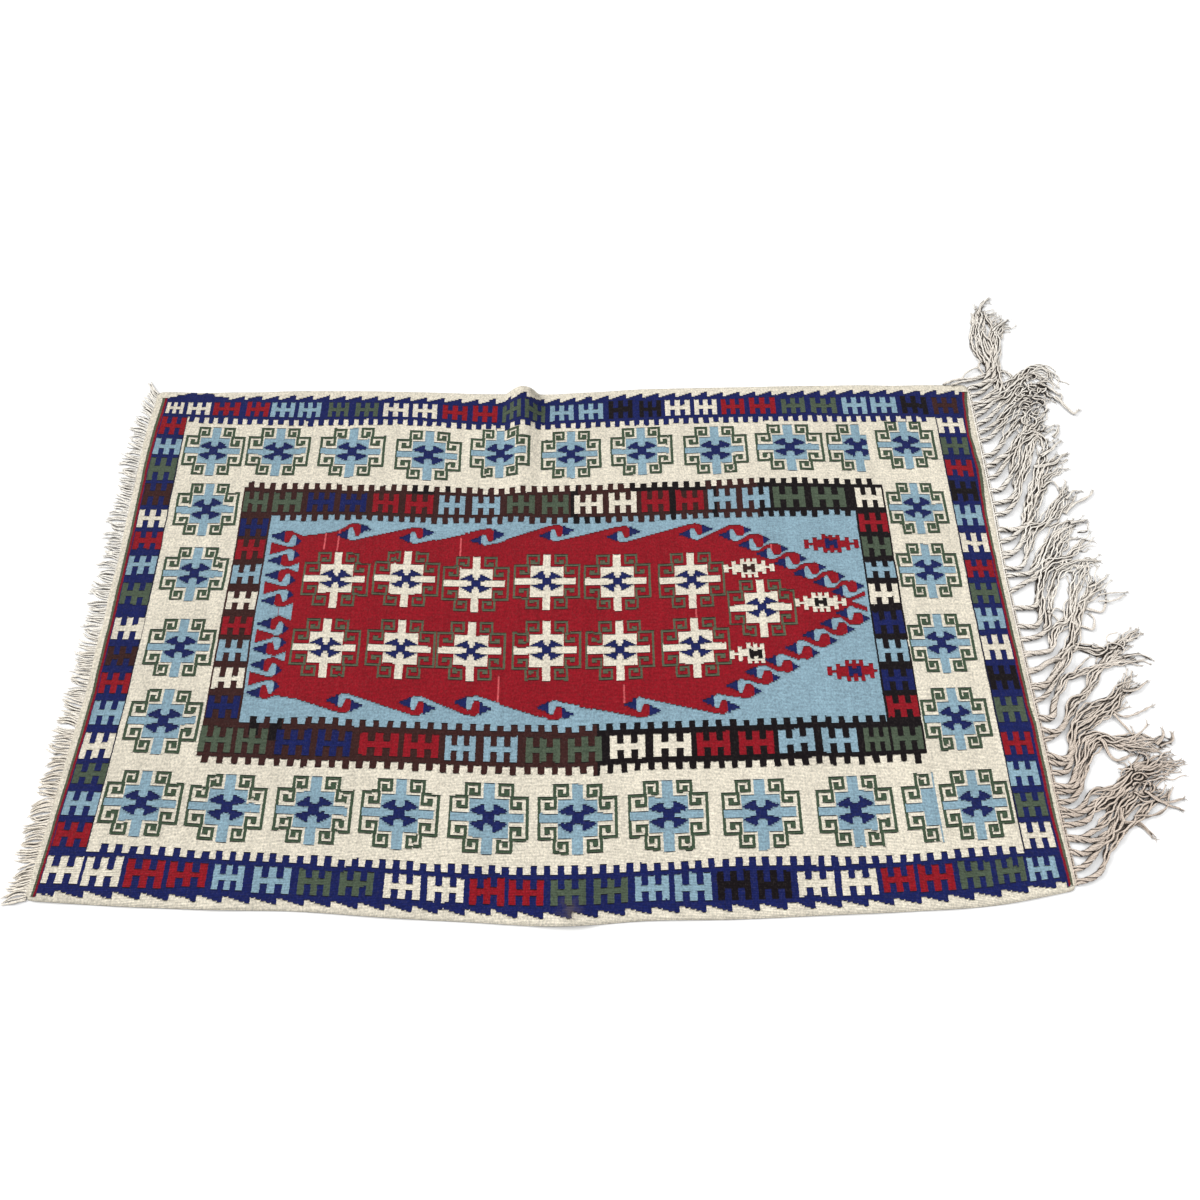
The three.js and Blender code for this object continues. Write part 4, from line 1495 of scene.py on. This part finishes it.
# Each bundle: yarns, half the width that they spread to, its place at the cloth, and its way
# over the floor
BUNDLES = [
    (6, 4, -524, [(920, -516), (941, -501), (960, -472), (985, -444), (1015, -424), (1050, -396),
        (1104, -362)]),
    (6, 5, -503, [(910, -497), (928, -483), (948, -464), (975, -440), (1005, -405), (1045, -372),
        (1105, -356)]),
    (7, 7, -470, [(914, -476), (937, -464), (958, -452), (985, -425), (1015, -390), (1060, -350),
        (1135, -328)]),
    (7, 7, -447, [(918, -449), (938, -439), (960, -427), (985, -400), (1018, -368), (1060, -336),
        (1140, -312)]),
    (5, 5, -450, [(928, -454), (952, -449), (975, -440), (1003, -412), (1040, -385), (1085, -362)]),
    (7, 8, -427, [(916, -425), (937, -417), (952, -400), (975, -385), (1005, -368), (1045, -336),
        (1142, -304)]),
    (7, 8, -411, [(920, -408), (943, -398), (962, -386), (990, -378), (1020, -352), (1060, -322),
        (1138, -306)]),
    (5, 5, -396, [(915, -403), (938, -388), (952, -371), (968, -366), (992, -366), (1020, -350),
        (1040, -325), (1088, -300)]),
    (7, 7, -386, [(911, -385), (926, -374), (942, -352), (960, -315), (977, -290), (1000, -276),
        (1030, -285), (1085, -296)]),
    (7, 7, -368, [(911, -368), (926, -361), (940, -335), (955, -302), (975, -277), (1000, -268),
        (1035, -284), (1122, -288)]),
    (7, 7, -355, [(910, -359), (923, -353), (937, -326), (950, -298), (970, -272), (995, -261), (1030, -272),
        (1128, -276)]),
    (7, 7, -333, [(914, -333), (926, -321), (938, -297), (953, -268), (975, -248), (1000, -234),
        (1035, -213), (1085, -165)]),
    (7, 7, -310, [(908, -318), (924, -312), (938, -288), (953, -255), (978, -236), (1005, -220),
        (1035, -203), (1090, -150)]),
    (7, 7, -297, [(905, -305), (920, -308), (936, -297), (944, -265), (960, -236), (983, -215), (1010, -204),
        (1040, -192), (1094, -142)]),
    (6, 6, -275, [(907, -267), (922, -257), (938, -241), (955, -214), (972, -196), (992, -186), (1005, -165),
        (1045, -115), (1104, -80)]),
    (6, 6, -250, [(906, -257), (922, -255), (940, -236), (958, -206), (980, -190), (998, -172), (1012, -150),
        (1065, -102), (1118, -44)]),
    (9, 4, -228, [(905, -233), (917, -227), (923, -208), (938, -182), (957, -155), (975, -149), (1000, -140),
        (1070, -120), (1133, -116)]),
    (6, 7, -200, [(910, -190), (927, -172), (943, -150), (958, -130), (975, -102), (992, -70), (1008, -35),
        (1050, 35), (1074, 90)]),
    (7, 7, -172, [(913, -170), (930, -154), (948, -134), (968, -108), (985, -78), (1000, -45), (1020, -8),
        (1078, 62)]),
    (7, 7, -142, [(911, -135), (931, -122), (951, -115), (972, -102), (988, -82), (1005, -48), (1015, -20),
        (1058, 25), (1094, 63)]),
    (5, 5, -138, [(915, -132), (950, -112), (980, -94), (1005, -90), (1035, -95), (1062, -95), (1085, -78),
        (1130, -54)]),
    (5, 5, -168, [(925, -160), (960, -118), (985, -92), (1010, -97), (1030, -105), (1060, -100),
        (1106, -80)]),
    (7, 8, -108, [(911, -103), (932, -100), (946, -94), (953, -72), (965, -50), (985, -38), (1000, -12),
        (1032, 50), (1060, 95), (1090, 94)]),
    (6, 6, -103, [(930, -101), (948, -90), (958, -65), (975, -45), (995, -25), (1010, 10), (1030, 65)]),
    (7, 7, -75, [(911, -72), (929, -66), (943, -54), (953, -33), (961, -8), (970, 20), (982, 50), (1000, 72),
        (1022, 80), (1070, 96)]),
    (7, 7, -45, [(912, -48), (926, -46), (936, -33), (942, -8), (950, 20), (962, 50), (978, 80), (998, 108),
        (1055, 165)]),
    (7, 7, -8, [(914, -8), (930, -6), (939, 6), (948, 32), (960, 58), (975, 85), (995, 118), (1020, 150),
        (1075, 198)]),
    (6, 7, 25, [(906, 36), (926, 48), (946, 58), (962, 75), (985, 92), (1006, 96), (1026, 102), (1042, 121),
        (1098, 156)]),
    (7, 7, 62, [(915, 65), (934, 67), (950, 80), (965, 104), (985, 132), (1005, 155), (1030, 175),
        (1084, 188)]),
    (6, 6, 82, [(912, 78), (928, 86), (940, 110), (953, 138), (970, 165), (1000, 185), (1030, 205),
        (1072, 262)]),
    (7, 7, 103, [(907, 110), (926, 125), (942, 148), (958, 172), (985, 180), (1005, 200), (1030, 230),
        (1068, 288)]),
    (7, 7, 113, [(915, 116), (931, 131), (947, 152), (962, 178), (975, 205), (990, 235), (1005, 262),
        (1025, 292), (1072, 330)]),
    (7, 7, 138, [(915, 146), (931, 159), (947, 175), (960, 200), (975, 230), (990, 258), (1008, 290),
        (1028, 318), (1082, 354)]),
    (8, 8, 168, [(913, 168), (932, 167), (951, 176), (962, 200), (972, 232), (985, 262), (1000, 292),
        (1015, 325), (1052, 400)]),
    (7, 7, 203, [(915, 206), (929, 218), (942, 233), (952, 256), (965, 285), (980, 312), (993, 342),
        (1008, 372), (1045, 425)]),
    (7, 7, 230, [(915, 232), (936, 241), (948, 258), (960, 285), (975, 315), (988, 345), (1005, 375),
        (1030, 405), (1076, 424)]),
    (7, 7, 262, [(915, 262), (931, 276), (946, 297), (957, 320), (970, 345), (985, 375), (1005, 398),
        (1030, 425), (1072, 466)]),
    (6, 7, 290, [(913, 296), (926, 309), (940, 327), (955, 350), (975, 372), (992, 400), (1015, 432),
        (1068, 482)]),
    (7, 9, 347, [(915, 350), (931, 363), (946, 381), (962, 405), (985, 432), (1010, 460), (1040, 492),
        (1088, 500)]),
    (7, 9, 385, [(915, 390), (931, 403), (951, 426), (972, 452), (1000, 480), (1030, 507), (1060, 520),
        (1086, 488)]),
    (6, 8, 405, [(916, 413), (941, 432), (968, 458), (992, 490), (1018, 518), (1048, 532), (1090, 512)]),
    (7, 8, 425, [(926, 442), (957, 474), (986, 505), (1006, 526), (1025, 545), (1055, 562), (1104, 548)]),
    (7, 8, 447, [(921, 463), (946, 486), (976, 506), (992, 521), (1007, 541), (1042, 572), (1066, 580),
        (1092, 570), (1110, 522)]),
    (6, 7, 467, [(921, 479), (946, 496), (970, 508), (985, 530), (1005, 550), (1030, 566), (1062, 560)]),
    (8, 6, 320, [(915, 325), (931, 340), (950, 350), (966, 369), (986, 391), (1006, 405), (1025, 402),
        (1036, 388), (1040, 366)]),
    (7, 9, 485, [(916, 484), (936, 501), (956, 516), (966, 532), (972, 580), (964, 630), (960, 680),
        (968, 725), (1002, 757)]),
    (7, 9, 503, [(916, 509), (936, 523), (956, 546), (965, 565), (958, 600), (945, 650), (955, 700),
        (968, 760), (996, 788)]),
    (8, 9, 525, [(921, 531), (941, 541), (959, 553), (970, 575), (980, 620), (990, 665), (1005, 695),
        (1031, 722)]),
]
# Bundles at the far corner, which start beside the cloth
CORNER_BUNDLES = [
    (8, 9, [(938, 538), (950, 562), (952, 590), (938, 628), (944, 680), (952, 725), (985, 748)]),
    (7, 9, [(950, 540), (962, 560), (970, 625), (982, 670), (1000, 708), (1020, 722)]),
    (4, 2, [(845, 537), (868, 546), (892, 551), (920, 552), (948, 557), (966, 563), (985, 573), (998, 570),
        (1006, 559), (1001, 546)]),
    (4, 2, [(862, 535), (890, 543), (918, 549), (950, 559), (975, 571), (992, 566)]),
    (3, 2, [(900, 545), (925, 556), (950, 566), (972, 568), (985, 560)]),
    (6, 6, [(950, 562), (968, 590), (985, 640), (988, 690), (978, 738), (1000, 750)]),
    (2, 1, [(890, 552), (900, 566), (918, 578), (935, 585), (945, 592)]),
    (2, 1, [(940, 562), (934, 585), (942, 606)]),
    (4, 3, [(962, 556), (975, 532), (981, 512)]),
]
# Loose locks that stand out of the mats
LOCKS = [
    (6, 4, [(1000, -398), (995, -415), (1000, -424), (1025, -425), (1040, -440), (1050, -452)]),
    (3, 2, [(1020, -413), (1050, -412), (1080, -400), (1095, -375), (1106, -362)]),
    (3, 2, [(1050, -368), (1078, -388), (1121, -382)]),
    (3, 2, [(1055, -370), (1080, -390), (1113, -402)]),
    (5, 3, [(990, -270), (1000, -280), (1003, -300), (1015, -312), (1030, -308), (1050, -300)]),
    (2, 1, [(1045, -280), (1060, -270), (1060, -250)]),
    (2, 2, [(1050, -275), (1080, -255), (1090, -245), (1091, -237)]),
    (3, 2, [(1030, -225), (1040, -240), (1050, -255), (1062, -272)]),
    (2, 1, [(1030, -218), (1050, -230), (1080, -222), (1119, -204)]),
    (4, 3, [(1095, -282), (1112, -268), (1117, -253)]),
    (4, 3, [(1100, -285), (1125, -276), (1133, -262)]),
    (3, 2, [(1060, -180), (1085, -178), (1118, -157)]),
    (2, 1, [(975, -146), (985, -135), (1000, -122), (1018, -108)]),
    (3, 2, [(1080, -112), (1110, -106), (1138, -118)]),
    (2, 2, [(958, -20), (970, -10), (990, -15)]),
    (2, 1, [(955, -15), (963, -25), (978, -42)]),
    (4, 2, [(995, -38), (1020, -50), (1035, -53), (1043, -33), (1036, -18)]),
    (3, 2, [(1020, -5), (1040, -12), (1060, -17), (1072, -5), (1078, 15), (1083, 35)]),
    (2, 1, [(1062, 18), (1083, 22), (1105, 24), (1126, 26)]),
    (2, 1, [(1060, 5), (1080, 5), (1100, 10), (1120, 22)]),
    (3, 2, [(1050, 35), (1078, 50), (1095, 64)]),
    (3, 3, [(990, 75), (1010, 85), (1040, 95), (1065, 97), (1092, 94)]),
    (3, 3, [(1045, 182), (1084, 190)]),
    (2, 2, [(1055, 160), (1075, 163), (1084, 182)]),
    (4, 3, [(1040, 205), (1060, 225), (1085, 238), (1105, 250), (1116, 268)]),
    (3, 2, [(1050, 240), (1070, 258), (1088, 260)]),
    (3, 2, [(1005, 268), (1020, 278), (1034, 282), (1042, 262)]),
    (5, 3, [(1000, 318), (1025, 322), (1050, 330), (1065, 345), (1084, 356)]),
    (4, 3, [(1020, 345), (1045, 360), (1060, 375), (1075, 385)]),
    (4, 4, [(1060, 395), (1072, 410), (1078, 424)]),
    (4, 3, [(1075, 530), (1093, 510), (1103, 508), (1100, 492)]),
    (4, 3, [(1085, 500), (1100, 478), (1112, 460), (1120, 456), (1128, 463), (1136, 466)]),
    (5, 3, [(985, 685), (1000, 700), (1031, 723)]),
    (4, 3, [(960, 735), (975, 765), (998, 788)]),
]
# Where yarns curl back on themselves on top of the mats: middle, half sizes, and how many curls
TANGLES = [(1060, 525, 24, 28, 20), (1025, 485, 30, 28, 20), (1012, 430, 24, 22, 12), (1050, -90, 26, 14, 8),
           (1050, -345, 38, 28, 14), (1020, 90, 24, 12, 4)]


def knot_x(y):
    """Where the cloth's right end is."""
    return short_line("right_edge", y) + fuller_end(y)


def yarn_paths(points, yarns, steps, shortest):
    """The bundle's way, once for each yarn, whose lengths differ."""
    centre = smooth_paths(np.array([points], float), CENTRE_STEPS)
    length = lengths_along(centre)[0]
    ends = length[-1] * uneven(yarns, shortest, 1.0)
    at = ends[:, None] * np.linspace(0, 1, steps)
    x, y = (np.interp(at, length, centre[0, :, axis]) for axis in (0, 1))
    return np.stack([x, y, np.zeros_like(x)], 2), at


def smooth_step(value, low, high):
    share = np.clip((value - low) / (high - low), 0, 1)
    return share * share * (3 - 2 * share)


def waves(at, low, high, shortest, longest):
    """A wave for each yarn, with its own height and length."""
    count = len(at)
    return each(uneven(count, low, high)) * np.sin(
        TAU * at / each(uneven(count, shortest, longest)) + each(uneven(count, 0, TAU)))


def seats(yarns):
    """The yarns' places side by side, from -1 to 1."""
    return (np.arange(yarns) + 0.5) / yarns * 2 - 1


def placed_yarns(paths, across, up):
    _, side = directions(paths)
    result = paths - side * across[..., None]
    result[..., 2] = np.maximum(up, YARN_RADIUS + CLEAR)
    return result


def yarn_radii(count, steps):
    s = np.linspace(0, 1, steps)
    return YARN_RADIUS * (1 - 0.5 * s ** 9) * each(uneven(count, *RADIUS_VARIES))


# The two plies of a frayed tip: reach past the yarn's end, how far they bend apart, their
# radius, how much they thin and sink, and how low they may lie
TIP = dict(reach=(5, 13), bend=(0.15, 0.6), radius=0.8, thins=0.7, sinks=0.6, lowest=0.6, steps=5, sides=4)


def frayed_tips(paths):
    """Two thin plies that part at each yarn's tip."""
    ahead, side = directions(paths)
    count = len(paths)
    s = np.linspace(0, 1, TIP["steps"])[None, :, None]
    groups = []
    for way in (-1, 1):
        reach = uneven(count, *TIP["reach"])[:, None, None]
        bend = way * uneven(count, *TIP["bend"])[:, None, None]
        ply = paths[:, -2:-1] + reach * s * (ahead[:, -2:-1] + bend * s * side[:, -2:-1])
        ply[..., 2] = np.maximum(ply[..., 2] * (1 - TIP["sinks"] * s[..., 0]), TIP["lowest"])
        radius = TIP["radius"] * (1 - TIP["thins"] * s[..., 0]) * np.ones((count, 1))
        groups.append(tubes(ply, radius, TIP["sides"], uneven(count, 0, 1)))
    return groups


# Where a bundle is drawn together and where it comes loose, from and to along it, the radius of
# the twist for each yarn in it, and the length of a turn
TWIST = dict(gather=(0, 9), loose=(45, 100), tight=0.45, turn=50.0)
# One yarn in so many runs up the twist's middle
CORE_YARN, CORE_SHARE = 5, 0.3
# Half the width of the flat root, its height, and the height of the twist's middle above the floor
ROOT_WIDE, ROOT_HIGH, TWIST_HIGH = 4.5, 1.6, 4.0
# The shortest yarn of a bundle and of a lock, as a share of the longest
BUNDLE_SHORTEST, LOCK_SHORTEST = 0.84, 0.86
# Waves of the loose yarns: least and most height, and shortest and longest wave
WANDER, SHIVER, PART = (0.2, 0.6, 70, 150), (0.4, 1.3, 19, 32), (0.1, 0.55, 30, 60)
RISE = (1, 1, 45, 110)
LOCK_SHIVER = (0.3, 1.0, 19, 40)
# How far a yarn's last stretch curls to a side, and that stretch's share of its length
CURL_END, CURL_SHARE = 11, 0.22
LOOSE_HIGH, LOCK_HIGH = (1.0, 8.0), (2.0, 7.0)


def bundle_group(yarns, spread, way, root=None):
    """A bundle: side by side at the cloth, twisted together, and then loose and crossing. Without
    a root it starts twisted, beside the cloth."""
    points = way if root is None else [(float(knot_x(root)) - ROOT_INSIDE, root)] + way
    if yarns >= FULL_FROM:
        yarns, spread = round(yarns * FULLER), spread + WIDER
    paths, at = yarn_paths(points, yarns, LONG_STEPS, BUNDLE_SHORTEST)
    s = np.linspace(0, 1, LONG_STEPS)
    gathered = np.ones_like(at) if root is None else smooth_step(at, *TWIST["gather"])
    loose = smooth_step(at, *TWIST["loose"])
    order = rng.permutation(yarns)
    seat = seats(yarns)
    angle = each(TAU * order / yarns) + TAU * at / TWIST["turn"]
    radius = each(np.where(order % CORE_YARN == 0, CORE_SHARE, 1.0)) * TWIST["tight"] * yarns
    twisted = radius * np.cos(angle) * gathered * (1 - loose)
    flat = ROOT_WIDE * each(seat[order]) * (1 - gathered)
    wander = spread * (0.75 * each(seat) + waves(at, *WANDER)) + waves(at, *SHIVER)
    wander += spread * waves(at, *PART) * np.clip(2.2 * s - 1.2, 0, 1)
    last = np.clip((s - (1 - CURL_SHARE)) / CURL_SHARE, 0, 1)
    curl = each(uneven(yarns, -CURL_END, CURL_END)) * last ** 2
    height = each(uneven(yarns, *LOOSE_HIGH)) * (0.4 + 0.6 * (0.5 + 0.5 * waves(at, *RISE)))
    resting = YARN_RADIUS + height * (1 - 0.8 * s ** 4)
    bound = YARN_RADIUS + TWIST_HIGH + 0.85 * radius * np.sin(angle)
    up = ROOT_HIGH * (1 - gathered) + bound * gathered * (1 - loose) + resting * loose
    paths = placed_yarns(paths, flat + twisted + loose * wander + curl, up)
    return [tubes(paths, yarn_radii(yarns, LONG_STEPS), SIDES, uneven(yarns, 0, 1))] + frayed_tips(paths)


def lock_group(yarns, spread, points, lift=0.0):
    """A loose lock that starts inside a mat and narrows to a frayed point."""
    paths, at = yarn_paths(points, yarns, LOCK_STEPS, LOCK_SHORTEST)
    s = np.linspace(0, 1, LOCK_STEPS)
    across = spread * each(seats(yarns)) * (1 - 0.55 * s) + waves(at, *LOCK_SHIVER)
    up = YARN_RADIUS + (lift + each(uneven(yarns, *LOCK_HIGH))) * (1 - 0.6 * s ** 2)
    paths = placed_yarns(paths, across, up)
    radii = yarn_radii(yarns, LOCK_STEPS) * (1 - 0.2 * s)
    return [tubes(paths, radii, SIDES, uneven(yarns, 0.2, 1))] + frayed_tips(paths)


# A curl: how far it turns, its radius, how many times that it starts and ends at, how round it
# lies, its points, and how much higher than a lock it lies
CURL = dict(turn=(1.6, 4.4), radius=(4, 13), opens=(1.2, 2.4), closes=0.9, slant=(0.5, 1.0),
            steps=6, lift=2.5)


def curls():
    """Yarns that loop over the mats where they are tangled, each with its mat's place."""
    for x, y, wide, high, count in TANGLES:
        for _ in range(count):
            cx, cy = x + uneven() * wide, y + uneven() * high
            start, turned = uneven(None, 0, TAU), uneven(None, *CURL["turn"]) * np.sign(uneven())
            angle = start + turned * np.linspace(0, 1, CURL["steps"])
            radius = uneven(None, *CURL["radius"])
            radius = radius * np.linspace(uneven(None, *CURL["opens"]), CURL["closes"], CURL["steps"])
            slant = uneven(None, *CURL["slant"])
            way = [(cx + r * math.cos(a), cy + slant * r * math.sin(a)) for r, a in zip(radius, angle)]
            yield y, lock_group(1, 0.5, way, lift=CURL["lift"])


# The twined edge: from and to across the cloth, its steps, the radius of a ply, and how far the
# plies of a row stand from its middle line
TWINED = dict(ends=(-528, 520), steps=640, radius=1.2, across=0.9, up=1.1)
# Its rows: the plies' numbers, the length of a turn, and the middle line's place past the cloth's
# end and above the floor
TWINED_ROWS = [((0, 1), 9.5, -1.6, 3.3), ((2, 3), 10.8, 2.6, 2.6)]


def twined_edge():
    """Two rows of plies twined over the warps where they leave the cloth."""
    line_y = np.linspace(*TWINED["ends"], TWINED["steps"])
    x = knot_x(line_y)
    groups = []
    for plies, pitch, off, up in TWINED_ROWS:
        for ply in plies:
            angle = TAU * line_y / pitch + ply * math.pi
            path = np.stack([x + off + TWINED["across"] * np.cos(angle), line_y,
                             up + TWINED["up"] * np.sin(angle)], 1)[None]
            radius = np.full((1, TWINED["steps"]), TWINED["radius"])
            groups.append(tubes(path, radius, SIDES, np.array([0.1 * ply])))
    return groups


def long_fringe(material):
    """The bundles in two pieces, nearer than the split and further than it, and the twined edge."""
    near, far = [], []
    for yarns, spread, root, way in BUNDLES:
        (near if root < FRINGE_SPLIT else far).extend(bundle_group(yarns, spread, way, root))
    for row in CORNER_BUNDLES:
        far.extend(bundle_group(*row))
    for row in LOCKS:
        (near if row[2][0][1] < FRINGE_SPLIT else far).extend(lock_group(*row))
    for y, group in curls():
        (near if y < FRINGE_SPLIT else far).extend(group)
    groups = {"long_fringe_near": near, "long_fringe_far": far, "twined_edge": twined_edge()}
    return [yarn_piece(name, tubes_of_it, material) for name, tubes_of_it in groups.items()]


def declare(cloth, short, long):
    rows = [(cloth, "kilim", "woven_wool"), (short, "fringe_left", "fringe_short")]
    rows += [(piece, "fringe_right", "fringe_long") for piece in long]
    for piece, node, slot in rows:
        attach(piece, "root")
        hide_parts(node)


short = short_fringe(yarn_material("short_yarn", **SHORT_WOOL))
long = long_fringe(yarn_material("long_yarn", **LONG_WOOL))
declare(cloth, short, long)
